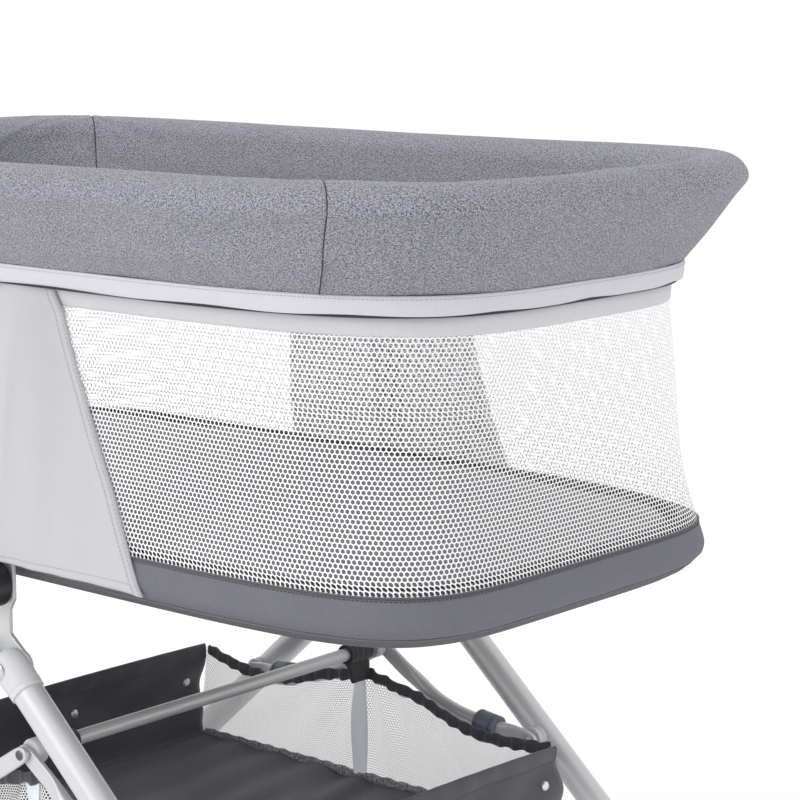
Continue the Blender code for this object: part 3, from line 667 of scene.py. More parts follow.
# Cross rail, collars and saddles.
# A straight tube joins the tops of the two arches.  A turned collar stops it at each end, and a
# saddle of charcoal webbing, sewn round it, holds the basket up.
RAIL_PROFILE = ((-0.2112, 0.0050), (-0.2108, 0.0060), (0.2108, 0.0060), (0.2112, 0.0050))
COLLAR_PROFILE = ((0.1985, 0.0064), (0.1985, 0.0090), (0.1992, 0.0101), (0.2004, 0.0105), (0.2082, 0.0105),
                  (0.2094, 0.0101), (0.2105, 0.0088), (0.2105, 0.0064))

rail = add_turned("rail_tube", (0, 0, APEX_Z), (0, 1, 0), RAIL_PROFILE, silver_coat, 32)
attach(rail, "brace_right")
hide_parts("cross_rail")

# cloth weave: over-and-under threads, and the light and dark threads of a melange yarn.  Its vector
# is in metres along and across the cloth.
weave, entry, leave = start_group(
    "cloth_weave", {"Vector": ("Vector", None), "Thread": ("Float", 0.0006), "Streak": ("Float", 5.0)},
    {"Height": "Float", "Melange": "Float", "Slub": "Float"})
in_threads = put(weave, "ShaderNodeVectorMath", {0: entry.outputs["Vector"]}, operation="SCALE")
weave.links.new(calculate(weave, "DIVIDE", 1.0, entry.outputs["Thread"]), in_threads.inputs["Scale"])
split = put(weave, "ShaderNodeSeparateXYZ", {0: in_threads.outputs[0]}).outputs
warp_over = calculate(weave, "FLOORED_MODULO", calculate(weave, "ADD", calculate(weave, "FLOOR", split[0]),
                                                          calculate(weave, "FLOOR", split[1])), 2.0)
round_u = calculate(weave, "ABSOLUTE",
                    calculate(weave, "SINE", calculate(weave, "MULTIPLY", split[0], math.pi)))
round_v = calculate(weave, "ABSOLUTE",
                    calculate(weave, "SINE", calculate(weave, "MULTIPLY", split[1], math.pi)))
height = put(weave, "ShaderNodeMix", {0: warp_over, 2: round_u, 3: round_v}, data_type="FLOAT").outputs[0]
yarns = []
for along, across in ((0, 1), (1, 0)):
    stretched = put(weave, "ShaderNodeCombineXYZ", {
        along: calculate(weave, "DIVIDE", split[along], entry.outputs["Streak"]),
        across: calculate(weave, "MULTIPLY", calculate(weave, "FLOOR", split[across]), 1.37),
        2: 3.1 * along})
    yarns.append(put(weave, "ShaderNodeTexNoise", {"Vector": stretched.outputs[0], "Scale": 1.0,
                                                   "Detail": 2.0, "Roughness": 0.7}).outputs["Fac"])
melange = put(weave, "ShaderNodeMix", {0: warp_over, 2: yarns[0], 3: yarns[1]}, data_type="FLOAT").outputs[0]
slub = put(weave, "ShaderNodeTexNoise", {"Vector": entry.outputs["Vector"], "Scale": 45.0,
                                         "Detail": 3.0}).outputs["Fac"]
weave.links.new(height, leave.inputs["Height"])
weave.links.new(melange, leave.inputs["Melange"])
weave.links.new(slub, leave.inputs["Slub"])


FLECK_SCALE = 760.0            # flecks in a metre of melange yarn


def cloth_finish(name, dark, light, thread, streak=5.0, contrast=2.0, slubby=0.06, relief=0.00018,
                 roughness=0.85, flecks=0.0, **uniform):
    """Woven cloth on the piece's own UV map, in metres, from its dark and light yarn colours."""
    middle = tuple((a + b) / 2 for a, b in zip(dark, light))
    finish, tree, shader = start_finish(name, middle, roughness, **uniform)
    place = put(tree, "ShaderNodeUVMap", uv_map="cloth").outputs[0]
    cloth = use_group(tree, weave, {"Vector": place, "Thread": thread, "Streak": streak})
    spread = calculate(tree, "ADD", calculate(tree, "MULTIPLY", calculate(
        tree, "SUBTRACT", cloth["Melange"], 0.5), contrast), 0.5)
    if flecks:
        speckle = put(tree, "ShaderNodeTexNoise", {"Vector": place, "Scale": FLECK_SCALE, "Detail": 3.0,
                                                   "Roughness": 0.85}).outputs["Fac"]
        uneven = calculate(tree, "MULTIPLY", calculate(tree, "SUBTRACT", speckle, 0.5), flecks)
        spread = calculate(tree, "ADD", spread, uneven)
    spread = put(tree, "ShaderNodeClamp", {"Value": spread}).outputs[0]
    tone = mix_colours(tree, spread, (*dark, 1.0), (*light, 1.0))
    shade = calculate(tree, "MULTIPLY", calculate(tree, "SUBTRACT", cloth["Slub"], 0.35), slubby * 2)
    tone = mix_colours(tree, shade, tone, (*(c * 0.45 for c in middle), 1.0))
    # Painted shade: the colour is darkened where the threads dip, in the gaps between them.
    thread_gap_painted_shade = calculate(tree, "MULTIPLY", calculate(tree, "SUBTRACT", 1.0, cloth["Height"]), 0.35)
    tone = mix_colours(tree, thread_gap_painted_shade, tone, (*(c * 0.5 for c in dark), 1.0))
    tree.links.new(tone, shader.inputs["Base Color"])
    bump = put(tree, "ShaderNodeBump", {"Height": cloth["Height"], "Distance": relief, "Strength": 0.7})
    tree.links.new(bump.outputs[0], shader.inputs["Normal"])
    return finish


def lay_cloth(name, rows, finish, around=False, closed=False, ends=False, sharp=60):
    """A cloth skin over rows of points, with a UV map named cloth in metres.

    around joins each row's end to its start; closed joins the last row to the first; ends closes
    the first and last rows with a face each.
    """
    rows = np.asarray(rows, float)
    count, width = rows.shape[:2]
    wrapped = np.concatenate([rows, rows[:, :1]], axis=1) if around else rows
    along = np.linalg.norm(np.diff(wrapped, axis=1), axis=2).mean(0)
    along = np.concatenate([[0.0], np.cumsum(along)])
    tall = np.concatenate([rows, rows[:1]]) if closed else rows
    across = np.linalg.norm(np.diff(tall, axis=0), axis=2).mean(1)
    across = np.concatenate([[0.0], np.cumsum(across)])
    faces, corners = [], []
    for r in range(count if closed else count - 1):
        below, above = r * width, ((r + 1) % count) * width
        for c in range(width if around else width - 1):
            d = (c + 1) % width
            faces.append((below + c, below + d, above + d, above + c))
            corners += [along[c], across[r], along[c + 1], across[r],
                        along[c + 1], across[r + 1], along[c], across[r + 1]]
    if ends:
        for first, turn in ((0, -1), ((count - 1) * width, 1)):
            ring = list(range(first, first + width))[::turn]
            faces.append(tuple(ring))
            corners += [value for i in ring for value in rows.reshape(-1, 3)[i][:2]]
    mesh = bpy.data.meshes.new(name)
    mesh.from_pydata(rows.reshape(-1, 3).tolist(), [], faces)
    mesh.uv_layers.new(name="cloth").data.foreach_set("uv", corners)
    mesh.shade_smooth()
    mesh.set_sharp_from_angle(angle=math.radians(sharp))
    mesh.materials.append(finish)
    piece = bpy.data.objects.new(name, mesh)
    bpy.context.scene.collection.objects.link(piece)
    return piece


def thicken(piece, thickness, inwards=-1.0):
    """Give a cloth skin its thickness, on the inner side unless inwards says otherwise."""
    wall = piece.modifiers.new("thickness", "SOLIDIFY")
    wall.thickness = thickness
    wall.offset = inwards
    wall.use_even_offset = False


webbing_charcoal = cloth_finish("webbing_charcoal", (0.022, 0.022, 0.026), (0.055, 0.055, 0.062), 0.0011,
                                relief=0.0003, Sheen_Weight=0.2)
# The white webbing glows faintly: a painted glow from its emission, which lightens the strip where it lies in
# shade under the tub.
webbing_white_painted_glow = cloth_finish("webbing_white_painted_glow", (0.86, 0.86, 0.89), (0.94, 0.94, 0.96), 0.0011, relief=0.0003,
                             Subsurface_Weight=0.3, Emission_Color=(0.9, 0.9, 0.97, 1.0),
                             Emission_Strength=0.12)
for side, y_sign in SIDES:
    collar = add_turned("collar_" + side, (0, 0, APEX_Z), (0, y_sign, 0), COLLAR_PROFILE, sleeve_plastic)
    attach(collar, "brace_right")
    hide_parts("rail_collar_" + side)
    rows = []
    for step in range(17):
        y = y_sign * (0.1640 + 0.0300 * step / 16)
        swell = 0.0088 + 0.0003 * math.cos(step * 1.7)
        rows.append([(swell * math.cos(a), y, APEX_Z + swell * math.sin(a))
                     for a in np.linspace(0, 2 * math.pi, 40, endpoint=False)[::-y_sign]])
    saddle = lay_cloth("saddle_" + side, rows, webbing_charcoal, around=True)
    thicken(saddle, 0.0020)
    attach(saddle, "brace_right")
    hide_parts("rail_saddle_" + side)

# Basket.
# One piece of charcoal cloth makes the floor and the two end walls, with a folded hem and snaps; a
# white net makes each long wall, gathered into a dark binding that the saddle's loop lifts in the middle.
BASKET_FLOOR = 0.178
BASKET_TOP = 0.262
BASKET_LENGTH = 0.222              # half
BASKET_WIDTH = 0.196               # half
BASKET_LEAN = 0.007
BASKET_NET_GAP = 0.0012            # from the end of the floor cloth to the net
GATHER_PITCH = 0.0075
STRIP_PLACE = -0.012               # of the white strip, along the basket
SNAP_PLACES = (-0.115, 0.030, 0.175)


def thread_finish(name, colour, roughness=0.8, pebble=2600.0, **uniform):
    """Twisted thread or net yarn: a fine broken tone and a fine bump."""
    finish, tree, shader = start_finish(name, colour, roughness, **uniform)
    fine = use_group(tree, grain, {"Vector": put(tree, "ShaderNodeTexCoord").outputs["Object"],
                                   "Pebble": pebble, "Patch": 30.0})
    tone = mix_colours(tree, fine["Height"], (*(c * 0.80 for c in colour), 1.0),
                       (*(min(1.0, c * 1.12) for c in colour), 1.0))
    tree.links.new(tone, shader.inputs["Base Color"])
    bump = put(tree, "ShaderNodeBump", {"Height": fine["Height"], "Distance": 0.0001, "Strength": 0.5})
    tree.links.new(bump.outputs[0], shader.inputs["Normal"])
    return finish


# net: a honeycomb of knitted yarn.  A triangle grid is turned into its six-sided cells, and each
# cell is opened by a hole.
net, entry, leave = start_geometry_tree(
    "net", {"Length": "Float", "Height": "Float", "Columns": "Int", "Rows": "Int", "Opening": "Float",
            "Finish": "Material"})
grid = put(net, "GeometryNodeMeshGrid", {
    "Size X": entry["Length"], "Size Y": entry["Height"],
    "Vertices X": calculate(net, "ADD", entry["Columns"], 1.0),
    "Vertices Y": calculate(net, "ADD", entry["Rows"], 1.0)})
spot = put(net, "ShaderNodeSeparateXYZ", {0: put(net, "GeometryNodeInputPosition").outputs[0]}).outputs
row = calculate(net, "ROUND", calculate(net, "DIVIDE", spot[1], calculate(net, "DIVIDE", entry["Height"],
                                                                         entry["Rows"])))
shift = calculate(
    net, "MULTIPLY",
    calculate(net, "SUBTRACT", calculate(net, "FLOORED_MODULO", row, 2.0), 0.5),
    calculate(net, "DIVIDE", calculate(net, "MULTIPLY", entry["Length"], 0.5), entry["Columns"]))
staggered = put(net, "GeometryNodeSetPosition", {
    "Geometry": grid.outputs["Mesh"], "Offset": put(net, "ShaderNodeCombineXYZ", {0: shift}).outputs[0]})
triangles = put(net, "GeometryNodeTriangulate", {0: staggered.outputs[0]}, quad_method="SHORTEST_DIAGONAL")
cells = put(net, "GeometryNodeDualMesh", {0: triangles.outputs[0]})
rims = put(net, "GeometryNodeExtrudeMesh", {"Mesh": cells.outputs[0], "Offset Scale": 0.0}, mode="FACES")
inner = put(net, "GeometryNodeScaleElements", {"Geometry": rims.outputs["Mesh"],
                                               "Selection": rims.outputs["Top"], "Scale": entry["Opening"]},
            domain="FACE")
opened = put(net, "GeometryNodeDeleteGeometry", {"Geometry": inner.outputs[0],
                                                 "Selection": rims.outputs["Top"]}, domain="FACE")
real = put(net, "GeometryNodeRealizeInstances", {"Geometry": opened.outputs[0]})
coated = put(net, "GeometryNodeSetMaterial", {"Geometry": real.outputs[0], "Material": entry["Finish"]})
net.links.new(coated.outputs[0], leave.inputs[0])


def add_net(name, length, height, columns, rows, opening, finish, lay):
    """A flat net, laid on its surface: lay(along, up) takes shares from 0 to 1 and gives points."""
    piece = run_tree(name, net, bpy.data.meshes.new(name), {
        "Length": length, "Height": height, "Columns": columns, "Rows": rows, "Opening": opening,
        "Finish": finish})
    mesh = piece.data
    yarn_area = sum(polygon.area for polygon in mesh.polygons)
    flat = np.zeros(len(mesh.vertices) * 3)
    mesh.vertices.foreach_get("co", flat)
    flat = flat.reshape(-1, 3)
    mesh.vertices.foreach_set("co", lay(flat[:, 0] / length + 0.5, flat[:, 1] / height + 0.5).ravel())
    mesh.update()
    mesh.shade_smooth()
    return piece, yarn_area


# stitches: a small round-ended stitch at even steps along a line
stitches, entry, leave = start_geometry_tree(
    "stitches", {"Step": "Float", "Length": "Float", "Thickness": "Float", "Finish": "Material"})
line = put(stitches, "GeometryNodeMeshToCurve", {"Mesh": entry["Geometry"]})
even = put(stitches, "GeometryNodeResampleCurve", {"Curve": line.outputs[0], "Length": entry["Step"]},
           mode="LENGTH")
turn = put(stitches, "FunctionNodeAlignRotationToVector",
           {"Vector": put(stitches, "GeometryNodeInputTangent").outputs[0]}, axis="X")
bead = put(stitches, "GeometryNodeMeshUVSphere", {"Segments": 6, "Rings": 4, "Radius": 0.5})
size = put(stitches, "ShaderNodeCombineXYZ",
           {0: entry["Length"], 1: entry["Thickness"], 2: entry["Thickness"]})
copies = put(stitches, "GeometryNodeInstanceOnPoints", {
    "Points": even.outputs[0], "Instance": bead.outputs["Mesh"], "Rotation": turn.outputs["Rotation"],
    "Scale": size.outputs[0]})
real = put(stitches, "GeometryNodeRealizeInstances", {"Geometry": copies.outputs["Instances"]})
coated = put(stitches, "GeometryNodeSetMaterial", {"Geometry": real.outputs[0], "Material": entry["Finish"]})
stitches.links.new(coated.outputs[0], leave.inputs[0])


def sew(name, routes, finish, step=0.0034, length=0.0026, thickness=0.0006, closed=False):
    """A row of stitches along each route of points, in one piece."""
    points, edges = [], []
    for route in routes:
        first = len(points)
        points += [tuple(map(float, p)) for p in route]
        edges += [(i, i + 1) for i in range(first, len(points) - 1)]
        if closed:
            edges.append((len(points) - 1, first))
    base = bpy.data.meshes.new(name)
    base.from_pydata(points, edges, [])
    piece = run_tree(name, stitches, base, {"Step": step, "Length": length, "Thickness": thickness,
                                            "Finish": finish})
    piece.data.shade_smooth()
    return piece


def fold_with_basket(piece):
    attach(piece, "basket")
    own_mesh(piece)


basket_cloth = cloth_finish("basket_cloth", (0.044, 0.042, 0.053), (0.094, 0.090, 0.112), 0.0008,
                            streak=3.0, contrast=1.4, slubby=0.16, roughness=0.7, Sheen_Weight=0.25)
foot_binding_cloth = cloth_finish("foot_binding_cloth", (0.10, 0.10, 0.11), (0.55, 0.55, 0.58), 0.0016,
                                  streak=1.2, contrast=3.5, relief=0.0003)
net_yarn = thread_finish("net_yarn", (0.955, 0.945, 0.965), 0.6)
dark_thread = thread_finish("dark_thread", (0.035, 0.035, 0.042))
snap_plastic = hard_finish("snap_plastic", (0.035, 0.036, 0.042), 0.35, worn=(0.2, 0.2, 0.2))
snap_metal = hard_finish("snap_metal", (0.72, 0.72, 0.70), 0.30, worn=(0.85, 0.85, 0.85), Metallic=0.7)


def basket_cloth_point(along, y):
    """Point of the floor and end-wall cloth; along runs from -1 at the left hem to 1 at the right."""
    wall = (BASKET_TOP - BASKET_FLOOR) / (BASKET_LENGTH + BASKET_TOP - BASKET_FLOOR)
    sign, reach = math.copysign(1.0, along), abs(along)
    middle = 1 - (y / BASKET_WIDTH) ** 2
    if reach > 1 - wall:
        up = (reach - 1 + wall) / wall
        lean = BASKET_LEAN * up + 0.002 * middle * up ** 1.5 - 0.003 * math.sin(math.pi * up) * middle
        crease = 0.0045 * math.sin(24 * y + 7 * up + 2 * math.sin(17 * y)) * math.sin(math.pi * up) ** 1.5 \
            + 0.0016 * math.sin(74 * y - 11 * up) * math.sin(math.pi * up)
        x = BASKET_LENGTH - lean + crease
        raised = 0.001 - 0.007 * sign
        z = BASKET_FLOOR + (BASKET_TOP - BASKET_FLOOR + raised + 0.003 * middle) * up
    else:
        out = reach / (1 - wall)
        x = BASKET_LENGTH * out
        sag = 0.0055 * (1 - out ** 2) * middle
        crease = (0.0030 * math.sin(21 * along + 17 * y) * math.sin(13 * y - 15 * along)
                  + 0.0012 * math.sin(52 * y + 31 * along + 3 * math.sin(9 * along))) * (1 - out ** 4)
        z = BASKET_FLOOR - sag + crease
    corner = math.exp(-((reach - 1 + wall) / 0.022) ** 2)
    return (sign * (x - 0.0030 * corner), y, z + 0.0030 * corner)


across = np.linspace(-BASKET_WIDTH - 0.0012, BASKET_WIDTH + 0.0012, 81)
stations = np.linspace(-1, 1, 161)
basket_body = lay_cloth("basket_body", [[basket_cloth_point(along, y) for along in stations] for y in across],
                        basket_cloth)
thicken(basket_body, 0.0014, 0.0)
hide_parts("basket_floor_and_ends")
fold_with_basket(basket_body)

snap_head = fastener_mesh("snap_head", 0.0045, 0.0024, snap_metal)
snaps, hem_lines, floor_lines = [], [], []
for end, x_sign in ENDS:
    rows = []
    for height, bulge in ((0.84, 0.0010), (0.86, 0.0016), (0.92, 0.0019), (0.98, 0.0018), (1.0, 0.0010),
                          (1.003, 0.0), (1.0, -0.0010), (0.98, -0.0018), (0.92, -0.0019), (0.86, -0.0016),
                          (0.84, -0.0010)):
        wall = (BASKET_TOP - BASKET_FLOOR) / (BASKET_LENGTH + BASKET_TOP - BASKET_FLOOR)
        line = []
        for y in across:
            x, _, z = basket_cloth_point(x_sign * (1 - wall + wall * min(height, 1.0)), y)
            puff = bulge * (1 + 0.25 * math.sin(190 * y))
            line.append((x + x_sign * puff, y, z + 0.09 * max(0.0, height - 1)))
        rows.append(line[::x_sign])
    hem_band = lay_cloth("basket_hem_" + end, rows, basket_cloth, closed=True)
    fold_with_basket(hem_band)
    for y in SNAP_PLACES:
        x, _, z = basket_cloth_point(x_sign * (1 - 0.105), y)
        for facing in (-1, 1):
            snaps.append(((x + x_sign * facing * 0.0006, y, z), (x_sign * facing, 0, 0)))
    for facing in (-1, 1):
        hem_lines.append([(Vector(basket_cloth_point(x_sign * 0.952, y))
                           + Vector((x_sign * facing * 0.0021, 0, 0)))
                          for y in across])
        floor_lines.append([Vector(basket_cloth_point(x_sign * 0.700, y)) + Vector((0, 0, facing * 0.0010))
                            for y in across])
basket_snaps = add_fasteners("basket_snaps", snaps, snap_head, snap_metal)
fold_with_basket(basket_snaps)
bpy.data.objects.remove(snap_head, do_unlink=True)
grey_thread = thread_finish("grey_thread", (0.13, 0.13, 0.15))
basket_stitches = sew("basket_stitches", hem_lines + floor_lines, grey_thread)
fold_with_basket(basket_stitches)


def net_top(x):
    """Height of a long wall's upper edge: sagging at the quarters, lifted in the middle."""
    place = np.abs(x) / BASKET_LENGTH
    peak = 0.021 * np.maximum(0.0, 1 - place / 0.6) ** 1.3
    return (BASKET_TOP + (0.001 - 0.007 * np.sign(x)) * place ** 3 + peak
            - 0.009 * np.sin(np.pi * np.clip((place - 0.3) / 0.7, 0, 1)))


def net_point(x, up, y_sign, proud=0.0):
    """Point of a long net wall at length x and share up of its height, pushed out by proud."""
    top = net_top(x)
    z = BASKET_FLOOR + (top - BASKET_FLOOR) * up
    lean = BASKET_LEAN * up
    fan = np.arctan2(x, 0.035 + top - z)
    folds = 0.0042 * np.sin(13 * fan + 1.2) * np.exp(-np.abs(x) / 0.16) * np.sin(np.pi * up * 0.9)
    gathers = 0.0008 * np.sin(2 * np.pi * x / GATHER_PITCH * 0.5) * up ** 3
    y = BASKET_WIDTH + BASKET_NET_GAP + folds + gathers + proud
    return np.stack([x * (1 - lean / BASKET_LENGTH), y_sign * y, z], axis=-1)


for side, y_sign in SIDES:
    def lay_side(along, up, y_sign=y_sign):
        return net_point((2 * along - 1) * (BASKET_LENGTH - 0.001) * y_sign * -1, up, y_sign)
    wall_net, yarn_area = add_net("basket_net_" + side, 2 * BASKET_LENGTH, 0.090, 190, 44, 0.66,
                                  net_yarn, lay_side)
    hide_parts("basket_mesh_" + side)
    fold_with_basket(wall_net)
    lengths = np.linspace(-0.215, 0.215, 345)
    for edge, up, tall, deep in (("top", 1.0, 0.0056, 0.0019), ("foot", 0.0, 0.0048, 0.0014)):
        rows = []
        for a in np.linspace(0, 2 * np.pi, 14, endpoint=False):
            ripple = 1 + (0.20 if edge == "top" else 0.1) * np.sin(2 * np.pi * lengths / GATHER_PITCH
                                                                  + 1.3 * np.sin(61 * lengths))
            line = net_point(lengths, np.full_like(lengths, up), y_sign)
            line[:, 1] += y_sign * deep * math.cos(a) * ripple
            line[:, 2] += tall * math.sin(a) * (1 + 0.12 * np.sin(2 * np.pi * lengths / 0.019)) \
                + (0.002 if edge == "foot" else -0.003)
            rows.append(line[::y_sign])
        binding = lay_cloth("basket_binding_%s_%s" % (edge, side), rows,
                            basket_cloth if edge == "top" else foot_binding_cloth, closed=True)
        fold_with_basket(binding)
    ups = np.linspace(0.03, 0.97, 30)
    for facing, label in ((-1, "inside"), (1, "outside")):
        rows = [net_point(np.full_like(ups, STRIP_PLACE + offset), ups, y_sign, facing * 0.0012)
                for offset in np.linspace(-0.007, 0.007, 7)[::-facing * y_sign]]
        strip = lay_cloth("basket_strip_%s_%s" % (label, side), rows, webbing_white_painted_glow)
        fold_with_basket(strip)
    rows = []
    for share in np.linspace(0, 1, 14):
        z = 0.2975 - 0.022 * share
        low, high = 0.1640 + 0.0110 * share, 0.1940 + 0.0025 * share
        rows.append([(0.0012 * math.sin(5 * share), y_sign * y, z)
                     for y in np.linspace(low, high, 9)[::-y_sign]])
    loop = lay_cloth("basket_loop_" + side, rows, webbing_charcoal)
    thicken(loop, 0.0024, 0.0)
    fold_with_basket(loop)

# Hidden frame of the tub.
# Bent steel wire and tube inside the cloth carry the rim, the floor and the uprights, and a fibre
# board lies under the mattress; they keep their modelled shapes.
frame_steel = hard_finish("frame_steel", (0.40, 0.40, 0.41), 0.35, Metallic=0.85)
fibre_board, tree, shader = start_finish("fibre_board", (0.36, 0.27, 0.18), 0.85)
place = put(tree, "ShaderNodeTexCoord").outputs["Object"]
chips = put(tree, "ShaderNodeTexVoronoi", {"Vector": place, "Scale": 260.0})
long_fibres = put(tree, "ShaderNodeTexNoise", {
    "Vector": put(tree, "ShaderNodeMapping", {"Vector": place, "Scale": (40.0, 400.0, 400.0)}).outputs[0],
    "Scale": 1.0, "Detail": 4.0})
flecks = calculate(tree, "MULTIPLY", chips.outputs["Distance"], long_fibres.outputs["Fac"])
tree.links.new(mix_colours(tree, flecks, (0.25, 0.18, 0.11, 1.0), (0.46, 0.36, 0.25, 1.0)),
               shader.inputs["Base Color"])
for node in ("rim_tube", "base_frame", "upright_near", "upright_far", "base_board"):
    slots = frame["nodes"][node].data.materials
    slots.clear()
    slots.append(fibre_board if node == "base_board" else frame_steel)

# Underside and base band.
# The tub's floor is a tray of dark coated cloth drawn up round the base frame; a band of heavier dark
# grey cloth stands round it, sewn to the tray with a corded seam and to the net with a lapped one.
TUB_LENGTH, TUB_WIDTH = 0.430, 0.254         # half, at the rim
BAND_BOTTOM = 0.697
BASE_TOP = 0.4865
SEAM_HEIGHT, SEAM_OFFSET = 0.4553, -0.0374
RIM_SQUARE, BAND_SQUARE, BASE_SQUARE = 5.0, 3.8, 5.5
ROUND_THE_TUB = np.arange(480) / 480
END_LEAST = -0.0400                # the net hangs steeper at the two ends than along the sides
END_STAND_OFF = ((0.4935, 0.6000, 0.6780, 0.6960), (0.0, 0.85, 0.85, 0.0))     # by height
UNDERSIDE_PROFILE = ((-0.0376, 0.4562), (-0.0380, 0.4540), (-0.0408, 0.4508), (-0.0470, 0.4472),
                     (-0.0600, 0.4425), (-0.0800, 0.4380), (-0.1050, 0.4342), (-0.1300, 0.4323),
                     (-0.1600, 0.4313), (-0.1950, 0.4313), (-0.2250, 0.4313), (-0.2500, 0.4313))
BASE_BAND_PROFILE = ((-0.0348, 0.4862), (-0.0342, 0.4830), (-0.0330, 0.4780), (-0.0318, 0.4725),
                     (-0.0311, 0.4685), (-0.0312, 0.4650), (-0.0320, 0.4612), (-0.0352, 0.4570),
                     (-0.0370, 0.4556))


def tub_outline(offset, z, shares, lift=0.0):
    """The tub's plan outline at height z, moved out by offset, at shares of its length from +X round.

    The outline is a superellipse: square at the rim and the base, rounder where the rim cover ends.
    """
    if z >= BAND_BOTTOM:
        toward_rim = min(1.0, (z - BAND_BOTTOM) / (0.757 - BAND_BOTTOM))
        power = BAND_SQUARE + toward_rim * (RIM_SQUARE - BAND_SQUARE)
    else:
        toward_base = min(1.0, (BAND_BOTTOM - z) / (BAND_BOTTOM - BASE_TOP))
        power = BAND_SQUARE + toward_base * (BASE_SQUARE - BAND_SQUARE)
    held_out = np.interp(z, END_STAND_OFF[0], END_STAND_OFF[1]) if offset < END_LEAST else 0.0
    end_offset = offset + (END_LEAST - offset) * held_out
    a = np.linspace(0, 2 * np.pi, 2881)
    reach = (np.abs(np.cos(a) / (TUB_LENGTH + end_offset)) ** power
             + np.abs(np.sin(a) / (TUB_WIDTH + offset)) ** power) ** (-1 / power)
    x, y = reach * np.cos(a), reach * np.sin(a)
    walked = np.concatenate([[0], np.cumsum(np.hypot(np.diff(x), np.diff(y)))])
    at = np.mod(shares, 1.0) * walked[-1]
    return np.stack([np.interp(at, walked, x), np.interp(at, walked, y), np.full(len(at), z + lift)], axis=1)


def tub_skin(name, profile, finish, thickness=None, shares=ROUND_THE_TUB, wave=None, closed=False):
    """A cloth ring round the tub from its lowest row up; wave(share, row) moves the cloth out, in metres."""
    rows = []
    for i, (offset, z) in enumerate(profile):
        ring = tub_outline(offset, z, shares)
        if wave is not None:
            ahead = np.roll(ring, -1, axis=0) - np.roll(ring, 1, axis=0)
            out = np.stack([ahead[:, 1], -ahead[:, 0]], axis=1)
            out /= np.linalg.norm(out, axis=1, keepdims=True)
            ring[:, :2] += out * wave(shares, i / (len(profile) - 1))[:, None]
        rows.append(ring)
    skin = lay_cloth(name, rows, finish, around=True, closed=closed)
    if thickness:
        thicken(skin, thickness)
    return skin


def tub_cord(name, offset, z, radius, finish, sides=10):
    """A round cord or piping along the tub's outline."""
    section = [(offset + radius * math.cos(a), z + radius * math.sin(a))
               for a in np.linspace(0, -2 * np.pi, sides, endpoint=False)]
    return tub_skin(name, section[::-1], finish, closed=True)


tray_cloth = cloth_finish("tray_cloth", (0.090, 0.088, 0.096), (0.130, 0.127, 0.138), 0.0007, contrast=1.4,
                          slubby=0.10, relief=0.0001, roughness=0.75)
band_cloth = cloth_finish("band_cloth", (0.128, 0.128, 0.152), (0.186, 0.186, 0.216), 0.0007, contrast=1.4,
                          slubby=0.08, relief=0.00012, roughness=0.8)


def band_puff(shares, row):
    return (0.0006 * math.sin(math.pi * row)
            * (1 + np.sin(2 * np.pi * 31 * shares + np.sin(2 * np.pi * 7 * shares))))


tray = tub_skin("underside_tray", UNDERSIDE_PROFILE[::-1], tray_cloth)
body = bmesh.new()
body.from_mesh(tray.data)
inner_loop = [edge for edge in body.edges if edge.is_boundary and edge.verts[0].co.z < 0.44]
bmesh.ops.contextual_create(body, geom=inner_loop)
for vertex in body.verts:
    spread = 1 - min(1.0, max(abs(vertex.co.x) / 0.37, abs(vertex.co.y) / 0.2))
    vertex.co.z -= 0.0010 * spread * (1 + math.sin(23 * vertex.co.x) * math.sin(31 * vertex.co.y + 2))
body.to_mesh(tray.data)
body.free()
thicken(tray, 0.0022)
base_band = tub_skin("base_band_cloth", BASE_BAND_PROFILE[::-1], band_cloth, wave=band_puff)
thicken(base_band, 0.0028)
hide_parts("underside_cover")
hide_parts("base_band")
seam_cord = tub_cord("base_seam_cord", SEAM_OFFSET, SEAM_HEIGHT, 0.0010, band_cloth)
seam_route = tub_outline(SEAM_OFFSET + 0.0017, SEAM_HEIGHT + 0.0014, np.arange(700) / 700)
seam_stitches = sew("base_seam_stitches", [seam_route], dark_thread, step=0.0030, length=0.0028,
                    thickness=0.0008, closed=True)
lap_stitches = sew("base_lap_stitches", [tub_outline(-0.0340, BASE_TOP - 0.0022, np.arange(600) / 600)],
                   dark_thread, closed=True)
lap_cord = tub_cord("base_lap_cord", -0.0346, BASE_TOP + 0.0002, 0.0008, tray_cloth)
for piece, slot in ((tray, "underside"), (base_band, "dark_grey"), (seam_cord, "dark_grey"),
                    (lap_cord, "dark_grey"), (seam_stitches, "dark_grey"), (lap_stitches, "dark_grey")):
    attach(piece, "tub")

# Net walls and their binding.
# White spacer net, knitted in a honeycomb, is stretched between the base band and a light grey woven
# binding under the rim.  Its two halves meet behind the side panels.
NET_TOP, NET_FOOT = 0.6700, 0.4820
BASE_WALL = ((0.4660, -0.0310), (0.4865, -0.0350), (0.5300, -0.0440), (0.6000, -0.0505), (0.6670, -0.0520),
             (0.7000, -0.0505))
BINDING_PROFILE = ((-0.0520, 0.6660), (-0.0506, 0.6665), (-0.0494, 0.6690), (-0.0472, 0.6750),
                   (-0.0460, 0.6795), (-0.0462, 0.6830), (-0.0480, 0.7000), (-0.0450, 0.7120),
                   (-0.0418, 0.7240))
NET_COLUMNS, NET_ROWS, NET_OPENING = 268, 55, 0.75


def wall_offset(z):
    """How far the net wall lies from the rim's outermost outline at height z."""
    return np.interp(z, [height for height, _ in BASE_WALL], [offset for _, offset in BASE_WALL])


WALL_LEVELS = np.linspace(0.455, 0.705, 26)
WALL_STEPS = 1600
wall_table = np.array([tub_outline(wall_offset(z), z, np.arange(WALL_STEPS) / WALL_STEPS)[:, :2]
                       for z in WALL_LEVELS])


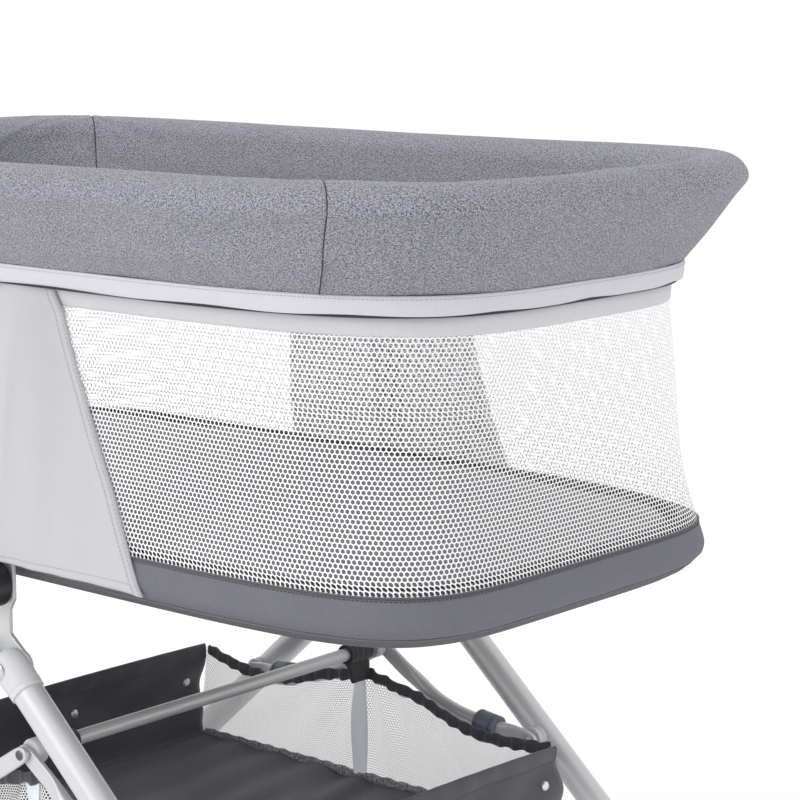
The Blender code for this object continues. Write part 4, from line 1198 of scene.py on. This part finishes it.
def on_wall(share, z, lift=0.0):
    """Points of the net wall at shares round the tub and heights z."""
    level = np.clip((z - WALL_LEVELS[0]) / (WALL_LEVELS[1] - WALL_LEVELS[0]), 0, len(WALL_LEVELS) - 1.001)
    step = np.mod(share, 1.0) * WALL_STEPS
    a, i = level.astype(int), step.astype(int)
    up, on = (level - a)[:, None], (step - i)[:, None]
    i, j = i % WALL_STEPS, (i + 1) % WALL_STEPS
    low = wall_table[a, i] * (1 - on) + wall_table[a, j] * on
    high = wall_table[a + 1, i] * (1 - on) + wall_table[a + 1, j] * on
    flat = low * (1 - up) + high * up
    return np.concatenate([flat, z[:, None]], axis=1)


for half, from_share in (("right", -0.25), ("left", 0.25)):
    def lay_half(along, up, from_share=from_share):
        share = from_share + 0.5 * along
        z = NET_FOOT + (NET_TOP - NET_FOOT) * up
        return on_wall(share, z + 0.0006 * np.sin(2 * np.pi * 9 * share) * up)
    half_net, yarn_area = add_net("tub_net_" + half, 1.10, NET_TOP - NET_FOOT, NET_COLUMNS, NET_ROWS,
                                  NET_OPENING, net_yarn, lay_half)
    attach(half_net, "tub")
    if half == "right":
        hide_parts("mesh_wall")

binding_cloth = cloth_finish("binding_cloth", (0.62, 0.62, 0.655), (0.74, 0.74, 0.77), 0.0008, streak=8.0,
                             contrast=1.3, slubby=0.05, relief=0.0002, roughness=0.7)
binding = tub_skin("net_binding", BINDING_PROFILE, binding_cloth)
thicken(binding, 0.0046)
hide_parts("mesh_binding")
light_thread = thread_finish("light_thread", (0.44, 0.44, 0.47))
binding_stitches = sew("binding_stitches", [tub_outline(-0.0506, 0.6716, np.arange(600) / 600)], light_thread,
                       closed=True)
for piece in (binding, binding_stitches):
    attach(piece, "tub")

# Side panels.
# A smooth light grey panel, bound down both slanting edges, hides the upright on each side.  It is
# sewn to the net at its edges and bulges over the upright between them.
PANEL_TOP, PANEL_BOTTOM, PANEL_TUCK = 0.690, 0.460, 0.678
PANEL_HALF = {"near": (0.040, 0.150), "far": (0.100, 0.135)}      # at the top and at the foot
PANEL_SHIFT = {"near": 0.0, "far": 0.017}        # of the foot, towards the right-hand end
PANEL_BINDING = 0.0085
panel_cloth = cloth_finish("panel_cloth", (0.485, 0.488, 0.515), (0.560, 0.563, 0.592), 0.00045, streak=6.0,
                           contrast=1.0, slubby=0.04, relief=0.00006, roughness=0.62, Sheen_Weight=0.1)
panel_binding_cloth = cloth_finish("panel_binding_cloth", (0.500, 0.503, 0.530), (0.585, 0.588, 0.615),
                                   0.0008, streak=8.0, contrast=1.2, slubby=0.04, relief=0.0002,
                                   roughness=0.7)


def panel_half(z, side):
    top_half, bottom_half = PANEL_HALF[side]
    share = min(1.0, max(0.0, (PANEL_TOP - z) / (PANEL_TOP - PANEL_BOTTOM)))
    return top_half + (bottom_half - top_half) * share ** 1.4


def panel_point(place, z, side, y_sign, proud=0.0):
    """Point of the panel at place (-1 to 1 across it) and height z, pushed out by proud."""
    drop = max(0.0, (PANEL_TUCK - z) / (PANEL_TUCK - PANEL_BOTTOM))
    middle = 0.2151 + 0.0279 * drop ** 0.8
    over_binding = 0.0042 * min(1.0, max(0.0, (z - 0.660) / 0.014))
    edge = TUB_WIDTH + float(wall_offset(z)) + 0.0032 + over_binding
    share = min(1.0, max(0.0, (PANEL_TOP - z) / (PANEL_TOP - PANEL_BOTTOM)))
    x = panel_half(z, side) * place + PANEL_SHIFT[side] * share ** 1.4
    y = edge + (middle - edge) * math.cos(place * math.pi / 2) ** 2
    crease = 0.0011 * math.exp(-((x - 0.004) / 0.0045) ** 2) * min(1.0, 3 * drop)
    drape = 0.0007 * math.sin(9 * x / 0.05 + 14 * z) * math.cos(place * math.pi / 2) * min(1.0, 3 * drop)
    foot = 0.009 * (1 - abs(place)) * max(0.0, 1 - (z - PANEL_BOTTOM) / 0.02)
    return (x, y_sign * (y + crease + drape + proud), z + foot)


for side, y_sign in SIDES:
    heights = np.concatenate([np.linspace(PANEL_BOTTOM, PANEL_BOTTOM + 0.02, 9)[:-1],
                              np.linspace(PANEL_BOTTOM + 0.02, PANEL_TOP, 60)])
    places = np.linspace(-1, 1, 97)[::-y_sign]
    panel = lay_cloth("side_panel_cloth_" + side,
                      [[panel_point(p, z, side, y_sign) for p in places] for z in heights], panel_cloth)
    thicken(panel, 0.0020)
    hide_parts("side_panel_" + side)
    edge_stitches, strips = [], [panel]
    for edge in (-1, 1):
        rows = []
        for z in heights:
            half = panel_half(z, side)
            row = []
            for c in range(7):
                inset = PANEL_BINDING * c / 6
                swell = 0.0010 * math.sin(math.pi * min(1.0, 0.12 + 0.76 * c / 6))
                row.append(panel_point(edge * (1 - inset / half), z, side, y_sign, swell))
            rows.append(row[::edge * y_sign])
        strip = lay_cloth("panel_binding_%s_%s" % (side, "left" if edge < 0 else "right"), rows,
                          panel_binding_cloth)
        strips.append(strip)
        for inset in (0.0014, PANEL_BINDING - 0.0012):
            edge_stitches.append([
                panel_point(edge * (1 - inset / panel_half(z, side)), z, side, y_sign, 0.0011)
                for z in np.linspace(PANEL_BOTTOM + 0.002, PANEL_TUCK, 120)])
    hem_stitches = [panel_point(p, PANEL_BOTTOM + 0.0075, side, y_sign, 0.0003)
                    for p in np.linspace(-0.92, 0.92, 90)]
    sewn = sew("panel_stitches_" + side, edge_stitches + [hem_stitches], light_thread, thickness=0.0005)
    for piece in strips + [sewn]:
        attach(piece, "tub")

# Mattress.
# A foam pad in a dark grey knitted cover with a welt cord sewn round its top and bottom edges.  The
# cover is blown out from a slightly smaller block; it stays flat where it lies on the board.
PAD_STEP = 0.007
PAD_PRESSURE = 4.0
PAD_MOVE = 0.0060              # the furthest the cover swells
PAD_PROFILE = ((-0.0560, 0.4645), (-0.0500, 0.4662), (-0.0480, 0.4700), (-0.0475, 0.4780), (-0.0480, 0.4850),
               (-0.0510, 0.4895), (-0.0580, 0.4910))


def fill_cover(piece, pressure, furthest, sewn, frames=20):
    """Blow the cover out with the cloth solver; sewn says which points hold still."""
    rest = np.zeros(len(piece.data.vertices) * 3)
    piece.data.vertices.foreach_get("co", rest)
    rest = rest.reshape(-1, 3)
    held = piece.vertex_groups.new(name="sewn")
    held.add([int(i) for i in np.nonzero(sewn(rest))[0]], 1.0, "REPLACE")
    solver = piece.modifiers.new("filling", "CLOTH")
    solver.settings.use_pressure = True
    solver.settings.uniform_pressure_force = pressure
    solver.settings.effector_weights.gravity = 0.0
    solver.settings.vertex_group_mass = "sewn"
    solver.settings.quality = 5
    solver.settings.mass = 0.3
    solver.point_cache.frame_start = 1
    solver.point_cache.frame_end = frames
    for step in range(1, frames + 1):
        bpy.context.scene.frame_set(step)
    blown = bpy.data.meshes.new_from_object(piece.evaluated_get(bpy.context.evaluated_depsgraph_get()))
    moved = np.zeros(len(rest) * 3)
    blown.vertices.foreach_get("co", moved)
    moved = moved.reshape(-1, 3) - rest
    bpy.data.meshes.remove(blown)
    length = np.linalg.norm(moved, axis=1, keepdims=True)
    moved *= furthest * np.tanh(length / furthest) / np.maximum(length, 1e-9)
    piece.modifiers.remove(solver)
    piece.vertex_groups.remove(held)
    piece.data.vertices.foreach_set("co", (rest + moved).ravel())
    piece.data.update()
    bpy.context.scene.frame_set(1)


pad_knit, tree, shader = start_finish("pad_knit", (0.16, 0.16, 0.18), 0.9, Sheen_Weight=0.2)
place = put(tree, "ShaderNodeTexCoord").outputs["Object"]
spot = put(tree, "ShaderNodeSeparateXYZ", {0: place}).outputs
laid = put(tree, "ShaderNodeCombineXYZ", {
    0: calculate(tree, "ADD", spot[0], calculate(tree, "MULTIPLY", spot[2], 0.7)),
    1: calculate(tree, "ADD", spot[1], calculate(tree, "MULTIPLY", spot[2], 0.7))})
knit = use_group(tree, weave, {"Vector": laid.outputs[0], "Thread": 0.0008, "Streak": 4.0})
tone = mix_colours(tree, knit["Melange"], (0.085, 0.085, 0.098, 1.0), (0.230, 0.230, 0.255, 1.0))
tone = mix_colours(tree, calculate(tree, "MULTIPLY", knit["Slub"], 0.25), tone, (0.10, 0.10, 0.115, 1.0))
tree.links.new(tone, shader.inputs["Base Color"])
bump = put(tree, "ShaderNodeBump", {"Height": knit["Height"], "Distance": 0.0002, "Strength": 0.6})
tree.links.new(bump.outputs[0], shader.inputs["Normal"])

pad_block = lay_cloth("pad_block", [tub_outline(offset, z, ROUND_THE_TUB[::4]) for offset, z in PAD_PROFILE],
                      pad_knit, around=True, ends=True)
remesh = pad_block.modifiers.new("even", "REMESH")
remesh.mode = "VOXEL"
remesh.voxel_size = PAD_STEP
bpy.context.view_layer.update()
pad_mesh = bpy.data.meshes.new_from_object(pad_block.evaluated_get(bpy.context.evaluated_depsgraph_get()))
bpy.data.objects.remove(pad_block, do_unlink=True)
pad = bpy.data.objects.new("mattress_pad", pad_mesh)
pad_mesh.name = "mattress_pad"
bpy.context.scene.collection.objects.link(pad)
pad_mesh.materials.clear()
pad_mesh.materials.append(pad_knit)
fill_cover(pad, PAD_PRESSURE, PAD_MOVE, lambda points: points[:, 2] < 0.4675)
pad_mesh.shade_smooth()
softer = pad.modifiers.new("softer", "SUBSURF")
softer.levels = softer.render_levels = 1
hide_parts("mattress")
welt_cloth = cloth_finish("welt_cloth", (0.09, 0.09, 0.10), (0.15, 0.15, 0.165), 0.0008)
for piece in (pad, tub_cord("mattress_welt_top", -0.0462, 0.4905, 0.0017, welt_cloth),
              tub_cord("mattress_welt_foot", -0.0462, 0.4668, 0.0017, welt_cloth)):
    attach(piece, "tub")

# Rim cover, trim and zip.
# A padded sleeve of grey melange knit is wrapped over the rim tube: broad on the outer side, short on
# the inner side, joined by two upright seams.  Below it hang a light grey trim and a dark zip.
RIM_PRESSURE = 4.0
RIM_MOVE = 0.0030
RIM_START = 0.0020             # how much smaller the cover starts
OUTER_PROFILE = ((-0.0330, 0.6970), (-0.0190, 0.7220), (-0.0070, 0.7450), (0.0000, 0.7600), (-0.0040, 0.7715),
                 (-0.0130, 0.7785), (-0.0240, 0.7800), (-0.0350, 0.7765), (-0.0425, 0.7670),
                 (-0.0445, 0.7500), (-0.0445, 0.7250))
RIM_ROUND = 2.35               # the rim's length, all the way round
TUBE_OFFSET, TUBE_HEIGHT, TUBE_CLEAR = -0.022, 0.756, 0.0094
SEAM_SPOTS = ((0.328, -0.233), (-0.380, 0.226))
TRIM_PROFILE = ((-0.0362, 0.6822), (-0.0350, 0.6824), (-0.0342, 0.6845), (-0.0334, 0.6900), (-0.0326, 0.6950),
                (-0.0330, 0.6967))
ZIP_PROFILE = ((-0.0384, 0.6806), (-0.0382, 0.6840), (-0.0380, 0.6905))

heather_knit = cloth_finish("heather_knit", (0.075, 0.077, 0.098), (0.500, 0.500, 0.565), 0.0010, streak=2.4,
                            contrast=2.4, slubby=0.14, relief=0.00030, roughness=0.9, flecks=4.2,
                            Sheen_Weight=0.15)
trim_cloth = cloth_finish("trim_cloth", (0.618, 0.612, 0.660), (0.714, 0.708, 0.760), 0.0008, streak=9.0,
                          contrast=1.2, slubby=0.05, relief=0.0002, roughness=0.65)


def smooth_line(points, steps):
    """A curve through the points, with steps stretches between each two."""
    points = np.array(points)
    padded_points = np.concatenate([2 * points[:1] - points[1:2], points, 2 * points[-1:] - points[-2:-1]])
    line = []
    for before, start, end, after in zip(padded_points, padded_points[1:], padded_points[2:],
                                         padded_points[3:]):
        for t in np.arange(steps) / steps:
            line.append(0.5 * (2 * start + (end - before) * t
                               + (2 * before - 5 * start + 4 * end - after) * t ** 2
                               + (3 * start - before - 3 * end + after) * t ** 3))
    return line + [points[-1]]


def share_of(spot, offset, z):
    """Share round the tub of the outline's point nearest to an (x, y) spot."""
    tries = np.arange(4000) / 4000
    ring = tub_outline(offset, z, tries)
    return float(tries[np.argmin(np.hypot(ring[:, 0] - spot[0], ring[:, 1] - spot[1]))])


seam_shares = [share_of(spot, -0.024, 0.780) for spot in SEAM_SPOTS]
outer = smooth_line(OUTER_PROFILE, 5)
middle = np.array([-0.024, 0.752])
outer = [tuple(np.array(p) + (middle - np.array(p)) / np.linalg.norm(middle - np.array(p))
               * RIM_START * min(1.0, 8 * i / len(outer), 8 * (1 - i / len(outer))))
         for i, p in enumerate(outer)]
round_tube = [(TUBE_OFFSET + TUBE_CLEAR * math.cos(math.radians(a)),
               TUBE_HEIGHT + TUBE_CLEAR * math.sin(math.radians(a)))
              for a in range(190, -11, -20)]
hollow = [(-0.0405, 0.7250), (-0.0400, 0.7450), *round_tube, (-0.0115, 0.7450), (-0.0235, 0.7220),
          (-0.0375, 0.6970)]
section = outer + hollow
near_seam = np.array([-9, -6.5, -4.5, -3, -2, -1.2, -0.6, 0, 0.6, 1.2, 2, 3, 4.5, 6.5, 9]) * 0.001 / RIM_ROUND
cover_shares = np.arange(420) / 420
for seam in seam_shares:
    away = np.abs(np.mod(cover_shares - seam + 0.5, 1.0) - 0.5)
    cover_shares = np.concatenate([cover_shares[away > 0.0048], np.mod(seam + near_seam, 1.0)])
cover_shares = np.sort(cover_shares)


def rim_wave(shares, row):
    """Slow waves in the padding, and small puckers above the trim's seam."""
    slow = 0.0007 * (np.sin(2 * np.pi * 7 * shares + 1.0) + np.sin(2 * np.pi * 17 * shares + 9 * row))
    pucker = 0.00045 * np.sin(2 * np.pi * 121 * shares + 2 * np.sin(2 * np.pi * 11 * shares))
    on_outer = row < len(outer) / len(section)
    return (slow + pucker * math.exp(-row / 0.045)) if on_outer else 0.0 * shares


cover = tub_skin("rim_cover_knit", section, heather_knit, shares=cover_shares, wave=rim_wave, closed=True)
cover_seam = np.zeros(len(cover_shares), bool)
seam_near = np.zeros(len(cover_shares))
for seam in seam_shares:
    away = np.abs(np.mod(cover_shares - seam + 0.5, 1.0) - 0.5) * RIM_ROUND
    cover_seam |= away < 0.0003
    seam_near += np.exp(-(away / 0.0012) ** 2)
row_of = np.repeat(np.arange(len(section)), len(cover_shares))
column_of = np.tile(np.arange(len(cover_shares)), len(section))
on_hollow = (row_of >= len(outer) - 1) | (row_of < 1)
fill_cover(cover, RIM_PRESSURE, RIM_MOVE, lambda points: on_hollow | cover_seam[column_of])
points = np.zeros(len(row_of) * 3)
cover.data.vertices.foreach_get("co", points)
points = points.reshape(-1, 3)
core = np.array([tub_outline(TUBE_OFFSET, z, cover_shares) for z in (0.735, 0.765)])
toward = np.where((points[:, 2] < 0.75)[:, None], core[0][column_of], core[1][column_of]) - points
toward[:, 2] = np.where(points[:, 2] > 0.765, toward[:, 2], 0.0)
toward /= np.maximum(np.linalg.norm(toward, axis=1, keepdims=True), 1e-9)
dent = 0.0016 * seam_near[column_of] * (~on_hollow)
points += toward * dent[:, None]
cover.data.vertices.foreach_set("co", points.ravel())
cover.data.update()
seam_lines = []
for seam in seam_shares:
    column = int(np.argmin(np.abs(np.mod(cover_shares - seam + 0.5, 1.0) - 0.5)))
    seam_lines.append([points[row * len(cover_shares) + column] for row in range(len(outer))])
cover_seams = sew("rim_cover_seams", seam_lines, dark_thread, step=0.0011, length=0.0017, thickness=0.0011)
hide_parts("rim_cover")
trim = tub_skin("rim_trim_cloth", TRIM_PROFILE, trim_cloth)
for vertex in trim.data.vertices:
    slack = min(1.0, max(0.0, (0.6905 - vertex.co.z) / 0.006))
    vertex.co.z += 0.0007 * slack * math.sin(37 * vertex.co.x + 3 * math.sin(29 * vertex.co.y))
thicken(trim, 0.0018)
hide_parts("rim_trim")
zip_cloth = cloth_finish("zip_cloth", (0.035, 0.035, 0.040), (0.075, 0.075, 0.085), 0.0006)
tape = tub_skin("zip_tape_cloth", ZIP_PROFILE, zip_cloth)
thicken(tape, 0.0014)
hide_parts("zip_tape")
zip_teeth = sew("zip_teeth", [tub_outline(-0.0386, 0.6806, np.arange(600) / 600)], snap_plastic, step=0.0022,
                length=0.0013, thickness=0.0012, closed=True)
trim_stitches = sew("trim_stitches", [tub_outline(-0.0326, 0.6941, np.arange(600) / 600)], light_thread,
                    closed=True)
for piece, slot in ((cover, "heather"), (cover_seams, "heather"), (trim, "light_grey"), (tape, "zip"),
                    (zip_teeth, "zip"), (trim_stitches, "light_grey")):
    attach(piece, "tub")
